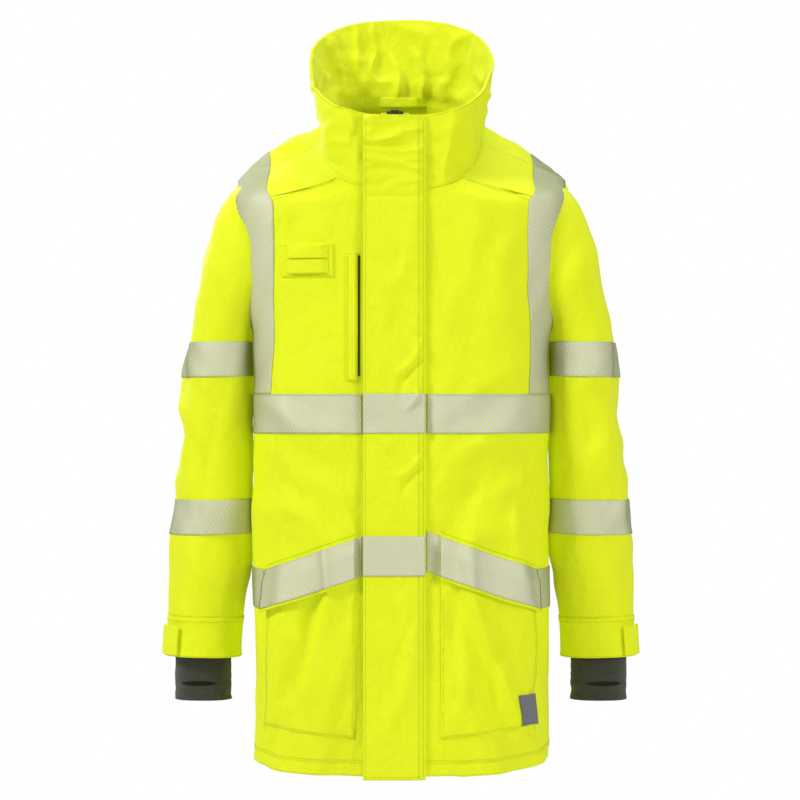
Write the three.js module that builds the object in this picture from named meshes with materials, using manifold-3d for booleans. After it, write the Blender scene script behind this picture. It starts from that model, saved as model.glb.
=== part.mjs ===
// Foul weather coat in high-visibility cloth: storm collar, zip under a storm flap, hand pockets
// under reflective flaps, reflective tapes and stretch inner cuffs with thumb slits.
// Millimetres. The wearer's left side is +X, the wearer's front is -Y and +Z is up.
// Heights in this file count from the front hem. The last group moves the coat so that its
// origin is at the hanger loop inside the back neck.
import * as THREE from 'three';
import { mergeVertices } from 'three/addons/utils/BufferGeometryUtils.js';
import Module from 'manifold-3d';

const wasm = await Module();
wasm.setup();

// ---- Driving dimensions: body and collar ----
const hipHalfWidth = 190;
const armpitHalfWidth = 197;
const shoulderHalfWidth = 216;
const neckHalfWidth = 102;
const collarFlare = 15.5; // how much wider the rim is than the neck seam, each side
const frontDepthAtHem = 140;
const frontDepthAtRim = 105;
const backDepth = 122;
const neckBackDepth = 84;
const hipHeight = 150;
const waistHeight = 300;
const ribHeight = 450;
const armpitHeight = 565;
const shoulderHeight = 745;
const neckFrontHeight = 736;
const neckSideHeight = 808;
const neckBackHeight = 867;
const collarFrontHeight = 93;
const collarSideHeight = 104;
const collarBackHeight = 113;
const hemSideRise = 19;
const hemBackRise = 8;

// ---- Driving dimensions: sleeves ----
const sleeveGap = 5; // between the hanging sleeve and the body
const sleeveWidthAtCuff = 97;
const sleeveWidthAtForearm = 100;
const sleeveWidthAtElbow = 92;
const sleeveWidthAtUpperArm = 80;
const sleeveDepthAtCuff = 43;
const sleeveDepthAtShoulder = 73;
const forearmHeight = 280;
const elbowHeight = 385;
const upperArmHeight = 500;
const sleeveTilt = 30; // how much higher the outside of a ring lies at the upper arm
const cuffBottom = 137;
const cuffSeamHeight = 188;
const innerCuffBottom = 81;
const innerCuffTop = 225;
const innerCuffHalfWidth = 36;
const innerCuffHalfDepth = 28;

// ---- Driving dimensions: cloth, trims and clearances ----
const clothThickness = 1.6;
const liningThickness = 1.2;
const trimThickness = 0.8;
const flapThickness = 1.2;
const layerGap = 0.4;
const seamGap = 0.4;
const reflectiveWidth = 50;
const chestTapeBottom = 427.5;
const waistTapeBottom = 249;
const waistTapeSideBottom = 205;
const braceInner = 164;
const braceInnerAtRidge = 179;
const braceOuter = 211;

// ---- Driving dimensions: closure ----
const zipX = -7.5;
const chainGap = 1;
const chainWidth = 3;
const zipTapeReach = 18;
const openingHalfWidth = 6; // from the zip's middle to the edge of the front cloth
const sliderLength = 12;
const sliderHalfWidth = 5.5;
const pullLength = 28;
const pullWidth = 6;
const flapFreeEdge = -47.5;
const flapSewnEdge = 31;
const flapSeamWidth = 5;
const flapStandOff = 4; // from the front cloth to the inside of the storm flap, over the slider
const hookWidth = 16;

// ---- Driving dimensions: pockets and small trims ----
const pocketInnerRight = -58;
const pocketInnerLeft = 50;
const pocketOuter = 172;
const pocketBottom = 47;
const pocketMouthDrop = 32; // from the flap's hinge down to the pocket's mouth
const flapRise = 3; // how far a pocket flap reaches above its tape
const flapHem = 4; // how far a pocket flap hangs below its tape
const chestPocketX = -69;
const chestPocketWidth = 19;
const chestPocketSlit = 4;
const chestPocketBottom = 494;
const chestPocketTop = 656;
const radioPatchX = -150;
const radioPatchWidth = 65;
const radioPatchBottom = 625;
const radioPatchHeight = 42.5;
const radioLoopWidth = 53;
const radioLoopHeight = 17;
const hangerHalfWidth = 30;
const hangerEndWidth = 8;
const hangerEndHeight = 14;
const hangerThickness = 1.5;
const hangerWebbing = 7;
const hangerHookGap = 6; // behind the loop, for the hook
const thumbSlitWidth = 46;
const thumbSlitHeight = 6;
const thumbSlitHeightAt = 100;

// ---- Colours ----
const highVisYellow = 0xe1f50a;
const tapeSilver = 0xcdcdc3;
const stretchOlive = 0x50504a;
const zipBlack = 0x26261f;
const liningGrey = 0x4a4d4a;
const labelGrey = 0x6b6e6c;

const rimFrontHeight = neckFrontHeight + collarFrontHeight;
const frontLean = (frontDepthAtHem - frontDepthAtRim) / rimFrontHeight;
const frontFaceY = (z) => z * frontLean - frontDepthAtHem;
const leanAngle = Math.atan(frontLean);

// ---- Rings of the body, from the hem up to the collar's rim ----
// lead is how far the rounded front would stand past the flat front face before it is cut flat.
// square is the power of the rounded rectangle: 2 is an ellipse and higher is squarer.
const bodyLead = 3;
const collarLead = 12;
const bodySquare = 3;
const collarSquare = 2.5;

function levelRing(height, halfWidth, back, drop = 0) {
  return {
    halfWidth,
    back,
    lead: bodyLead,
    side: height,
    front: height - drop,
    rear: height + drop,
    square: bodySquare,
  };
}

function collarRing(part, widen) {
  return {
    halfWidth: neckHalfWidth + collarFlare * widen,
    back: neckBackDepth + collarFlare * widen,
    lead: collarLead,
    side: neckSideHeight + collarSideHeight * part,
    front: neckFrontHeight + collarFrontHeight * part,
    rear: neckBackHeight + collarBackHeight * part,
    square: collarSquare,
  };
}

const hemRing = { ...levelRing(0, hipHalfWidth, backDepth), side: hemSideRise, rear: hemBackRise };
const yokeRise = shoulderHeight - armpitHeight;
const ridgeSlope = neckSideHeight - shoulderHeight;
const ridgeHalfWidth = (shoulderHalfWidth + neckHalfWidth) / 2 + 4;
const ridgeBackDepth = (backDepth + neckBackDepth) / 2 - 1;
const bladeFullness = 8; // how far the back swells over the shoulder blades
const shoulderPitch = 34; // how much lower the front of the shoulder ring lies than its side
const ridgePitch = 54;
const torsoRings = [
  hemRing,
  levelRing(hipHeight, hipHalfWidth, backDepth + 2),
  levelRing(waistHeight, hipHalfWidth, backDepth),
  levelRing(ribHeight, hipHalfWidth + 1, backDepth + 4),
  levelRing(armpitHeight, armpitHalfWidth, backDepth + bladeFullness),
  levelRing(armpitHeight + yokeRise * 0.55, (armpitHalfWidth + shoulderHalfWidth) / 2 + 2,
    backDepth + bladeFullness - 2, 9),
  levelRing(shoulderHeight, shoulderHalfWidth, backDepth - 6, shoulderPitch),
  { ...levelRing(shoulderHeight + ridgeSlope / 2, ridgeHalfWidth, ridgeBackDepth, ridgePitch), lead: 7 },
  collarRing(0, 0),
  collarRing(0.5, 0.5),
  collarRing(1, 1),
];
const collarSeam = 8; // the ring number of the neck seam
const rimRing = 10;

const ringEdge = 0.003; // half the gap at the neck seam, as a share of one ring's step
const bodyRows = [0, 1, 2, 3, 4, 4.5, 5, 5.5, 6, 6.5, 7, 7.5, collarSeam - ringEdge];
const collarRows = [collarSeam + ringEdge, 8.5, 9, 9.5, rimRing];
const torsoColumns = 32;

// ---- Rings of the left sleeve, from the cuff's edge up into the shoulder ----
const sleeveInnerX = hipHalfWidth + sleeveGap + 2;
const cuffInnerX = sleeveInnerX + 12;
const midSleeveDepth = (sleeveDepthAtCuff + sleeveDepthAtShoulder) / 2;

function sleeveRing(innerX, innerZ, outerX, outerZ, depth) {
  return { innerX, innerZ, outerX, outerZ, depth, square: 2.3 };
}

function armRing(innerX, width, height, tilt, depth) {
  return sleeveRing(innerX, height - tilt, innerX + width, height + tilt, depth);
}

// The top rings run into the shoulder, where the body cuts them off.
function headRing(inward, rise, outward, drop, depth) {
  return sleeveRing(armpitHalfWidth - inward, armpitHeight + rise, shoulderHalfWidth + outward,
    shoulderHeight - drop, depth);
}

const sleeveRings = [
  armRing(cuffInnerX, sleeveWidthAtCuff, cuffBottom + 1, 1, sleeveDepthAtCuff),
  armRing(cuffInnerX - 3, sleeveWidthAtCuff, cuffSeamHeight + 1, 1, sleeveDepthAtCuff + 1),
  armRing(sleeveInnerX + 1, sleeveWidthAtForearm, forearmHeight, 0, sleeveDepthAtCuff + 5),
  armRing(sleeveInnerX, sleeveWidthAtElbow, elbowHeight, sleeveTilt / 2, midSleeveDepth - 3),
  armRing(sleeveInnerX, sleeveWidthAtUpperArm, upperArmHeight, sleeveTilt, midSleeveDepth + 5),
  headRing(-1, -38, 45, 115, sleeveDepthAtShoulder - 5),
  headRing(6, -3, 24, 38, sleeveDepthAtShoulder),
  headRing(30, 12, -4, -2, sleeveDepthAtShoulder),
  headRing(60, 20, -40, -8, sleeveDepthAtShoulder),
];
const cuffRows = [0, 0.5, 1 - ringEdge];
const sleeveRows = [1 + ringEdge, 2, 3, 4, 4.5, 5, 5.5, 6, 6.5, 7, 8];
const sleeveColumns = 18;

// ---- Surfaces ----
function catmullRom(before, from, to, after, part) {
  const slopeFrom = (to - before) / 2;
  const slopeTo = (after - from) / 2;
  const square = part * part;
  const cube = square * part;
  return from * (2 * cube - 3 * square + 1) + slopeFrom * (cube - 2 * square + part)
    + to * (3 * square - 2 * cube) + slopeTo * (cube - square);
}

function ringBetween(rings, v) {
  const last = rings.length - 1;
  const index = Math.min(Math.max(Math.floor(v), 0), last - 1);
  const before = rings[Math.max(index - 1, 0)];
  const after = rings[Math.min(index + 2, last)];
  const ring = {};
  for (const key of Object.keys(rings[0])) {
    ring[key] = catmullRom(before[key], rings[index][key], rings[index + 1][key], after[key], v - index);
  }
  return ring;
}

const powered = (value, square) => Math.sign(value) * Math.abs(value) ** (2 / square);

function torsoPoint(v, angle) {
  const ring = ringBetween(torsoRings, v);
  const across = powered(Math.cos(angle), ring.square);
  const along = powered(Math.sin(angle), ring.square);
  const end = along < 0 ? ring.front : ring.rear;
  const z = ring.side + Math.abs(along) * (end - ring.side);
  const face = frontFaceY(z);
  const y = along < 0 ? Math.max(along * (ring.lead - face), face) : along * ring.back;
  return new THREE.Vector3(across * ring.halfWidth, y, z);
}

function tubePoint(rings, v, angle) {
  const ring = ringBetween(rings, v);
  const across = powered(Math.cos(angle), ring.square);
  const along = powered(Math.sin(angle), ring.square);
  const x = (ring.innerX + ring.outerX) / 2 + across * (ring.outerX - ring.innerX) / 2;
  const z = (ring.innerZ + ring.outerZ) / 2 + across * (ring.outerZ - ring.innerZ) / 2;
  return new THREE.Vector3(x, along * ring.depth, z);
}

const sleevePoint = (v, angle) => tubePoint(sleeveRings, v, angle);

function surfaceNormal(surface, v, angle) {
  const step = 1e-3;
  const around = surface(v, angle + step).sub(surface(v, angle - step));
  const upward = surface(v + step, angle).sub(surface(v - step, angle));
  return around.cross(upward).normalize();
}

function offsetPoint(surface, v, angle, offset) {
  return surface(v, angle).addScaledVector(surfaceNormal(surface, v, angle), offset);
}

// ---- Solids from surfaces ----
function closedGeometry(vertices, triangles) {
  const geometry = new THREE.BufferGeometry();
  geometry.setAttribute('position', new THREE.Float32BufferAttribute(vertices, 3));
  geometry.setIndex(triangles);
  return geometry;
}

function toSolid(source) {
  let geometry = source.clone();
  geometry.deleteAttribute('normal');
  geometry.deleteAttribute('uv');
  geometry = mergeVertices(geometry, 1e-4);
  return new wasm.Manifold(new wasm.Mesh({
    numProp: 3,
    vertProperties: new Float32Array(geometry.attributes.position.array),
    triVerts: new Uint32Array(geometry.index.array),
  }));
}

function toGeometry(solid) {
  const mesh = solid.getMesh();
  const positions = [];
  for (let i = 0; i < mesh.vertProperties.length; i += mesh.numProp) {
    positions.push(mesh.vertProperties[i], mesh.vertProperties[i + 1], mesh.vertProperties[i + 2]);
  }
  return closedGeometry(positions, Array.from(mesh.triVerts));
}

function offsetRings(surface, rows, columns, offset) {
  return rows.map((v) => Array.from({ length: columns }, (_, column) => (
    offsetPoint(surface, v, (column * 2 * Math.PI) / columns, offset)
  )));
}

// Four-sided faces are split so that the two sides of the coat mirror each other.
function splitQuad(triangles, leftSide, a, b, c, d) {
  if (leftSide) {
    triangles.push(a, b, d, b, c, d);
  } else {
    triangles.push(a, b, c, a, c, d);
  }
}

const onLeftSide = (column, columns) => Math.cos(((column + 0.5) * 2 * Math.PI) / columns) > 0;

// A skin between two offsets of a surface, open at both ends like a tube.
function skin(surface, rows, columns, outer, inner) {
  const sheets = [offsetRings(surface, rows, columns, outer), offsetRings(surface, rows, columns, inner)];
  const vertices = sheets.flat(2).flatMap((point) => point.toArray());
  const index = (sheet, row, column) => (sheet * rows.length + row) * columns + (column % columns);
  const triangles = [];
  const top = rows.length - 1;
  for (let column = 0; column < columns; column += 1) {
    const left = onLeftSide(column, columns);
    const quad = (a, b, c, d) => splitQuad(triangles, left, a, b, c, d);
    for (let row = 0; row < top; row += 1) {
      quad(index(0, row, column), index(0, row, column + 1),
        index(0, row + 1, column + 1), index(0, row + 1, column));
      quad(index(1, row, column), index(1, row + 1, column),
        index(1, row + 1, column + 1), index(1, row, column + 1));
    }
    quad(index(0, top, column), index(0, top, column + 1), index(1, top, column + 1), index(1, top, column));
    quad(index(1, 0, column), index(1, 0, column + 1), index(0, 0, column + 1), index(0, 0, column));
  }
  return toSolid(closedGeometry(vertices, triangles));
}

// The whole space inside an offset of a surface, closed by a fan at each end.
function filled(surface, rows, columns, offset) {
  const rings = offsetRings(surface, rows, columns, offset);
  const vertices = rings.flat().flatMap((point) => point.toArray());
  const centres = [rings[0], rings[rows.length - 1]].map((ring) => (
    ring.reduce((sum, point) => sum.add(point), new THREE.Vector3()).divideScalar(columns)
  ));
  centres.forEach((centre) => vertices.push(...centre.toArray()));
  const bottomCentre = rows.length * columns;
  const index = (row, column) => row * columns + (column % columns);
  const triangles = [];
  for (let column = 0; column < columns; column += 1) {
    for (let row = 0; row < rows.length - 1; row += 1) {
      splitQuad(triangles, onLeftSide(column, columns), index(row, column), index(row, column + 1),
        index(row + 1, column + 1), index(row + 1, column));
    }
    triangles.push(bottomCentre, index(0, column + 1), index(0, column));
    triangles.push(bottomCentre + 1, index(rows.length - 1, column), index(rows.length - 1, column + 1));
  }
  return toSolid(closedGeometry(vertices, triangles));
}

function mirrored(solid) {
  const geometry = toGeometry(solid);
  geometry.scale(-1, 1, 1);
  const order = geometry.index.array;
  for (let i = 0; i < order.length; i += 3) {
    [order[i + 1], order[i + 2]] = [order[i + 2], order[i + 1]];
  }
  return toSolid(geometry);
}

// ---- Cutting shapes ----
const farReach = 1200;

// A prism with a front-view outline of [x, z] points, between two depths.
function outlinePrism(points, nearY, farY) {
  const shape = new THREE.Shape(points.map(([x, z]) => new THREE.Vector2(x, z)));
  const geometry = new THREE.ExtrudeGeometry(shape, { depth: farY - nearY, bevelEnabled: false });
  geometry.rotateX(Math.PI / 2);
  geometry.translate(0, farY, 0);
  return toSolid(geometry);
}

const frontPrism = (points) => outlinePrism(points, -farReach, -seamGap / 2);
const throughPrism = (points) => outlinePrism(points, -farReach, farReach);

function boxSolid(lowX, highX, lowY, highY, lowZ, highZ) {
  const geometry = new THREE.BoxGeometry(highX - lowX, highY - lowY, highZ - lowZ);
  geometry.translate((lowX + highX) / 2, (lowY + highY) / 2, (lowZ + highZ) / 2);
  return toSolid(geometry);
}

const rectangle = (lowX, highX, lowZ, highZ) => [[lowX, lowZ], [highX, lowZ], [highX, highZ], [lowX, highZ]];
const backHalf = boxSolid(-farReach, farReach, seamGap / 2, farReach, -farReach, farReach);
const joined = (...solids) => solids.reduce((sum, solid) => sum.add(solid));

// ---- Layers of the body, counted outwards from the face of the outer cloth ----
const bodyLayer = (outer, inner, rows = bodyRows) => skin(torsoPoint, rows, torsoColumns, outer, inner);
const liningOuter = -clothThickness - layerGap - 0.1;
const trimOuter = layerGap + trimThickness;
const overPatch = trimOuter + layerGap;
const overFlap = overPatch + flapThickness + layerGap;

const sleeveRowsWhole = [0, 1, ...sleeveRows.slice(1)];
const sleeveOutline = filled(sleevePoint, sleeveRowsWhole, sleeveColumns, 2.5 * seamGap);
const sleeveHollow = filled(sleevePoint, sleeveRowsWhole, sleeveColumns, -clothThickness);
const bothOutlines = sleeveOutline.add(mirrored(sleeveOutline));
const bothHollows = sleeveHollow.add(mirrored(sleeveHollow));

const parts = [];

function addPart(name, solid, colour, roughness = 0.75, metalness = 0) {
  parts.push({ name, solid, colour, roughness, metalness });
}

// ---- Outer cloth ----
const yokeLine = [[-farReach, 717], [-braceOuter, 717], [-163, 727], [-82, 752], [0, 790], [82, 752],
  [163, 727], [braceOuter, 717], [farReach, 717]];

function aboveLine(line, lift) {
  return [...line.map(([x, z]) => [x, z + lift]), [farReach, farReach], [-farReach, farReach]];
}

function belowLine(line, drop) {
  return [[-farReach, -farReach], [farReach, -farReach], ...line.map(([x, z]) => [x, z - drop]).reverse()];
}

const backYokeHeight = 738;
const zipGapBox = boxSolid(
  zipX - openingHalfWidth,
  zipX + openingHalfWidth,
  -farReach,
  0,
  -farReach,
  farReach,
);

function addOuterCloth() {
  const cloth = bodyLayer(0, -clothThickness).subtract(bothHollows).subtract(zipGapBox);
  const panels = cloth.intersect(frontPrism(belowLine(yokeLine, seamGap / 2)));
  const yokes = cloth.intersect(frontPrism(aboveLine(yokeLine, seamGap / 2)));
  const rightOfZip = throughPrism(rectangle(-farReach, zipX, -farReach, farReach));
  addPart('front_panel_right', panels.intersect(rightOfZip), highVisYellow);
  addPart('front_panel_left', panels.subtract(rightOfZip), highVisYellow);
  addPart('shoulder_yoke_right', yokes.intersect(rightOfZip), highVisYellow);
  addPart('shoulder_yoke_left', yokes.subtract(rightOfZip), highVisYellow);
  const back = cloth.intersect(backHalf);
  const backTop = boxSolid(-farReach, farReach, 0, farReach, backYokeHeight, farReach);
  const backLow = boxSolid(-farReach, farReach, 0, farReach, -farReach, backYokeHeight - seamGap);
  addPart('back_panel', back.intersect(backLow), highVisYellow);
  addPart('back_yoke', back.intersect(backTop), highVisYellow);
}

// ---- Lining, held back from the zip tapes ----
const liningInner = liningOuter - liningThickness;
const liningRows = [0.08, ...bodyRows.slice(1)];
const liningHold = openingHalfWidth + zipTapeReach - 4;

function addLining() {
  const nearZip = boxSolid(zipX - liningHold, zipX + liningHold, -farReach, 0, -farReach, farReach);
  const lining = skin(torsoPoint, liningRows, torsoColumns, liningOuter, liningInner)
    .subtract(bothHollows).subtract(nearZip);
  const front = lining.intersect(frontPrism(rectangle(-farReach, farReach, -farReach, farReach)));
  const rightHalf = throughPrism(rectangle(-farReach, zipX, -farReach, farReach));
  addPart('lining_front_right', front.intersect(rightHalf), liningGrey, 0.85);
  addPart('lining_front_left', front.subtract(rightHalf), liningGrey, 0.85);
  addPart('lining_back', lining.intersect(backHalf), liningGrey, 0.85);
}

// ---- Collar ----
function addCollar() {
  const outer = skin(torsoPoint, collarRows, torsoColumns, 0, -clothThickness);
  const inner = skin(torsoPoint, collarRows, torsoColumns, liningOuter, liningInner);
  const nearZip = boxSolid(zipX - liningHold, zipX + liningHold, -farReach, 0, -farReach, farReach);
  addPart('collar_outer', outer.subtract(zipGapBox), highVisYellow);
  addPart('collar_lining', inner.subtract(nearZip), highVisYellow);
}

// ---- Reflective tapes on the body ----
function slopedBand(lowInner, lowOuter, innerX, outerX, height) {
  return [[innerX, lowInner], [outerX, lowOuter], [outerX, lowOuter + height], [innerX, lowInner + height]];
}

function addChestTape() {
  const band = bodyLayer(trimOuter, layerGap, [2, 3, 4]);
  const bandTop = chestTapeBottom + reflectiveWidth;
  const right = frontPrism(rectangle(-farReach, flapFreeEdge - 1, chestTapeBottom, bandTop));
  const left = frontPrism(rectangle(flapSewnEdge + 1, farReach, chestTapeBottom, bandTop));
  const back = boxSolid(-farReach, farReach, seamGap / 2, farReach, chestTapeBottom, bandTop);
  addPart('chest_tape_right', band.intersect(right), tapeSilver, 0.45);
  addPart('chest_tape_left', band.intersect(left), tapeSilver, 0.45);
  addPart('chest_tape_back', band.intersect(back), tapeSilver, 0.45);
}

const waistBandEnd = pocketOuter + 3;

function addWaistTapeBack() {
  const band = bodyLayer(trimOuter, layerGap, [1, 2]);
  const level = rectangle(-farReach, farReach, waistTapeSideBottom, waistTapeSideBottom + reflectiveWidth);
  const middle = boxSolid(-waistBandEnd, waistBandEnd, -farReach, 0, -farReach, farReach);
  addPart('waist_tape_back', band.intersect(throughPrism(level)).subtract(middle), tapeSilver, 0.45);
}

const braceTurnHeight = shoulderHeight - 45;

function addBraceTapes() {
  const low = chestTapeBottom + reflectiveWidth + seamGap;
  const ridge = shoulderHeight + 5;
  const outline = [
    [braceInner, low],
    [farReach, low],
    [farReach, braceTurnHeight],
    [braceOuter, braceTurnHeight],
    [braceOuter + 4, farReach],
    [braceInnerAtRidge, farReach],
    [braceInnerAtRidge, ridge + 20],
    [braceInner, braceTurnHeight],
  ];
  const layer = bodyLayer(trimOuter, layerGap, bodyRows.slice(3)).subtract(bothOutlines);
  const left = layer.intersect(throughPrism(outline));
  addPart('brace_tape_left', left, tapeSilver, 0.45);
  addPart('brace_tape_right', mirrored(left), tapeSilver, 0.45);
}

// ---- Lower pockets: a patch on each front, and a flap that carries the waist tape ----
const slopeOfBand = (waistTapeSideBottom - waistTapeBottom) / (pocketOuter - pocketInnerLeft);
const bandBottomAt = (x) => waistTapeBottom + slopeOfBand * (Math.abs(x) - pocketInnerLeft);
const bandTopAt = (x) => bandBottomAt(x) + reflectiveWidth;

function addPocket(side, innerX) {
  const outerX = Math.sign(innerX) * pocketOuter;
  const mouth = (x) => bandTopAt(x) - pocketMouthDrop;
  const patchOutline = [[innerX, pocketBottom], [outerX, pocketBottom + 12], [outerX, mouth(outerX)],
    [innerX, mouth(innerX)]];
  const rows = [0, 1, 2, 3];
  const ordered = (points) => (innerX > 0 ? points : [...points].reverse());
  const patch = bodyLayer(trimOuter, layerGap, rows).intersect(frontPrism(ordered(patchOutline)));
  addPart(`pocket_patch_${side}`, patch, highVisYellow);

  const flapBottom = (x) => bandBottomAt(x) - flapHem;
  const seamBottom = (x) => bandTopAt(x) + flapRise - flapSeamWidth;
  const sloped = (low, height) => slopedBand(low(innerX), low(outerX), innerX, outerX, height);
  const flapOutline = sloped(flapBottom, reflectiveWidth + flapHem + flapRise);
  const seamOutline = sloped(seamBottom, flapSeamWidth);
  const leaf = bodyLayer(overPatch + flapThickness, overPatch, rows)
    .intersect(frontPrism(ordered(flapOutline)));
  const seam = bodyLayer(overPatch + flapThickness / 2, layerGap + 0.2, rows)
    .intersect(frontPrism(ordered(seamOutline)));
  addPart(`pocket_flap_${side}`, joined(leaf, seam), highVisYellow);

  const tapeOutline = sloped(bandBottomAt, reflectiveWidth);
  const tape = bodyLayer(overFlap + trimThickness, overFlap, rows)
    .intersect(frontPrism(ordered(tapeOutline)));
  addPart(`pocket_flap_tape_${side}`, tape, tapeSilver, 0.45);
}

// ---- Pieces on the flat front face: across, outwards from the cloth, and up the face ----
const frontPlane = new THREE.Matrix4().makeRotationX(-leanAngle).setPosition(0, -frontDepthAtHem, 0);
const alongFace = (z) => z / Math.cos(leanAngle);

function faceBox(lowX, highX, lowOut, highOut, lowZ, highZ) {
  const low = alongFace(lowZ);
  const high = alongFace(highZ);
  const geometry = new THREE.BoxGeometry(highX - lowX, highOut - lowOut, high - low);
  geometry.translate((lowX + highX) / 2, -(lowOut + highOut) / 2, (low + high) / 2);
  geometry.applyMatrix4(frontPlane);
  return toSolid(geometry);
}

const zipBottom = 30;
const zipTop = rimFrontHeight + 4;
const zipTapeOut = -clothThickness - layerGap;
const zipTapeIn = zipTapeOut - trimThickness;
const chainIn = -3.6;
const chainOut = -1;
const sliderTop = zipTop + 3;

function addZip() {
  for (const [side, sign] of [['right', -1], ['left', 1]]) {
    const edges = (near, far) => [zipX + sign * near, zipX + sign * far].sort((a, b) => a - b);
    const chain = edges(chainGap, chainGap + chainWidth);
    const tape = edges(chainGap + chainWidth + 0.3, zipTapeReach);
    const cloth = faceBox(...tape, zipTapeIn, zipTapeOut, zipBottom - 10, zipTop);
    addPart(`zip_tape_${side}`, cloth, highVisYellow);
    addPart(`zip_chain_${side}`, faceBox(...chain, chainIn, chainOut, zipBottom, zipTop - 2), zipBlack, 0.5);
  }
  const boxLow = zipBottom - 14;
  const boxHalf = chainGap + chainWidth;
  addPart('zip_box', faceBox(zipX - boxHalf, zipX + boxHalf, chainIn, chainOut, boxLow, zipBottom - seamGap),
    zipBlack, 0.5);
}

function addSlider() {
  const low = sliderTop - sliderLength;
  const half = sliderHalfWidth;
  const frontPlate = faceBox(zipX - half, zipX + half, chainOut + layerGap, chainOut + 1.9, low, sliderTop);
  const rearPlate = faceBox(zipX - half, zipX + half, chainIn - 1.6, chainIn - layerGap, low, sliderTop);
  const post = faceBox(zipX - 0.6, zipX + 0.6, chainIn - 1, chainOut + 1, low, sliderTop);
  addPart('zip_slider', joined(frontPlate, rearPlate, post), zipBlack, 0.4, 0.6);
  const pullTop = sliderTop - 3;
  addPart('zip_pull', faceBox(zipX - pullWidth / 2, zipX + pullWidth / 2, chainOut + 2.3, chainOut + 3.8,
    pullTop - pullLength, pullTop), zipBlack, 0.6);
}

function addStormFlap() {
  const inside = flapStandOff;
  const outside = inside + flapThickness + 0.6;
  const top = rimFrontHeight;
  const bottom = -4;
  const leaf = faceBox(flapFreeEdge, flapSewnEdge, inside, outside, bottom, top);
  const seamStart = flapSewnEdge - flapSeamWidth;
  const seam = faceBox(seamStart, flapSewnEdge, layerGap, inside + flapThickness / 2, bottom, top);
  addPart('storm_flap', joined(leaf, seam), highVisYellow);
  const stripLow = 40;
  const stripHigh = rimFrontHeight - 25;
  const stripX = flapFreeEdge + 4;
  const middle = (layerGap + inside) / 2;
  const strip = (near, far) => faceBox(stripX, stripX + hookWidth, near, far, stripLow, stripHigh);
  addPart('panel_loop_strip', strip(layerGap, middle - layerGap / 2), highVisYellow, 0.9);
  addPart('flap_hook_strip', strip(middle + layerGap / 2, inside - layerGap), highVisYellow, 0.9);
  const tapeLow = outside + layerGap;
  const tapeHigh = tapeLow + trimThickness;
  addPart('flap_chest_tape', faceBox(flapFreeEdge, flapSewnEdge, tapeLow, tapeHigh, chestTapeBottom,
    chestTapeBottom + reflectiveWidth), tapeSilver, 0.45);
  addPart('flap_waist_tape', faceBox(flapFreeEdge, flapSewnEdge, tapeLow, tapeHigh, waistTapeBottom,
    waistTapeBottom + reflectiveWidth), tapeSilver, 0.45);
}

// ---- Chest pocket, radio patch and labels ----
function addChestPocket() {
  const slitX = chestPocketX + chestPocketWidth - chestPocketSlit;
  const rows = [3, 4, 4.5, 5, 5.5];
  const welt = rectangle(chestPocketX, slitX - seamGap, chestPocketBottom, chestPocketTop);
  const facing = rectangle(slitX, slitX + chestPocketSlit - 2, chestPocketBottom + 3, chestPocketTop - 3);
  const sewnOn = (outer, outline) => bodyLayer(outer, layerGap, rows).intersect(frontPrism(outline));
  addPart('chest_pocket_welt', sewnOn(trimOuter, welt), highVisYellow);
  addPart('chest_pocket_facing', sewnOn(trimOuter - 0.2, facing), zipBlack);
  const bagLow = chestPocketBottom - 20;
  const bag = rectangle(chestPocketX - 80, chestPocketX + 8, bagLow, chestPocketTop - 20);
  const bagOuter = liningInner - layerGap;
  const bagLayer = bodyLayer(bagOuter, bagOuter - liningThickness, rows);
  addPart('chest_pocket_bag', bagLayer.intersect(frontPrism(bag)), liningGrey, 0.85);
}

const radioLoopStandOff = 1.7; // clears the bulge of the chest between the loop's ends

// A plain plate lying on the cloth across two points of one height.
function plateOnCloth(lowX, highX, lowZ, highZ, standOff, thickness) {
  const midZ = (lowZ + highZ) / 2;
  const ends = [lowX, highX].map((x) => frontPointAt(x, midZ));
  const centre = ends[0].clone().add(ends[1]).multiplyScalar(0.5);
  const geometry = new THREE.BoxGeometry(highX - lowX, thickness, highZ - lowZ);
  geometry.translate(0, -standOff - thickness / 2, 0);
  geometry.rotateX(-leanAngle);
  geometry.rotateZ(Math.atan2(ends[1].y - ends[0].y, ends[1].x - ends[0].x));
  geometry.translate(centre.x, centre.y, centre.z);
  return geometry;
}

// The point on the front cloth at a place in front view, found by closing in on it.
function frontPointAt(x, z) {
  let v = 3;
  let angle = 1.5 * Math.PI;
  const side = Math.sign(x) || 1;
  const steps = 60;
  for (let i = 0; i < steps; i += 1) {
    const point = torsoPoint(v, angle);
    v = Math.min(Math.max(v + (z - point.z) / 150, 0), collarSeam);
    angle += side * Math.min(Math.max((Math.abs(x) - Math.abs(point.x)) / 400, -0.05), 0.05);
    angle = side > 0 ? Math.max(angle, 1.5 * Math.PI) : Math.min(angle, 1.5 * Math.PI);
  }
  return torsoPoint(v, angle);
}

function addRadioPatch() {
  const right = radioPatchX + radioPatchWidth;
  const top = radioPatchBottom + radioPatchHeight;
  const outline = rectangle(radioPatchX, right, radioPatchBottom, top);
  const patch = bodyLayer(trimOuter, layerGap, [4, 4.5, 5, 5.5, 6]).intersect(frontPrism(outline));
  addPart('radio_patch', patch, highVisYellow);
  const loopLow = radioPatchX + (radioPatchWidth - radioLoopWidth) / 2;
  const upperLow = top - 2 - radioLoopHeight;
  const lowerLow = upperLow - 2 - radioLoopHeight;
  for (const [name, low] of [['radio_loop_upper', upperLow], ['radio_loop_lower', lowerLow]]) {
    const plate = plateOnCloth(loopLow, loopLow + radioLoopWidth, low, low + radioLoopHeight,
      trimOuter + radioLoopStandOff, flapThickness);
    addPart(name, toSolid(plate), highVisYellow);
  }
}

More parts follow.
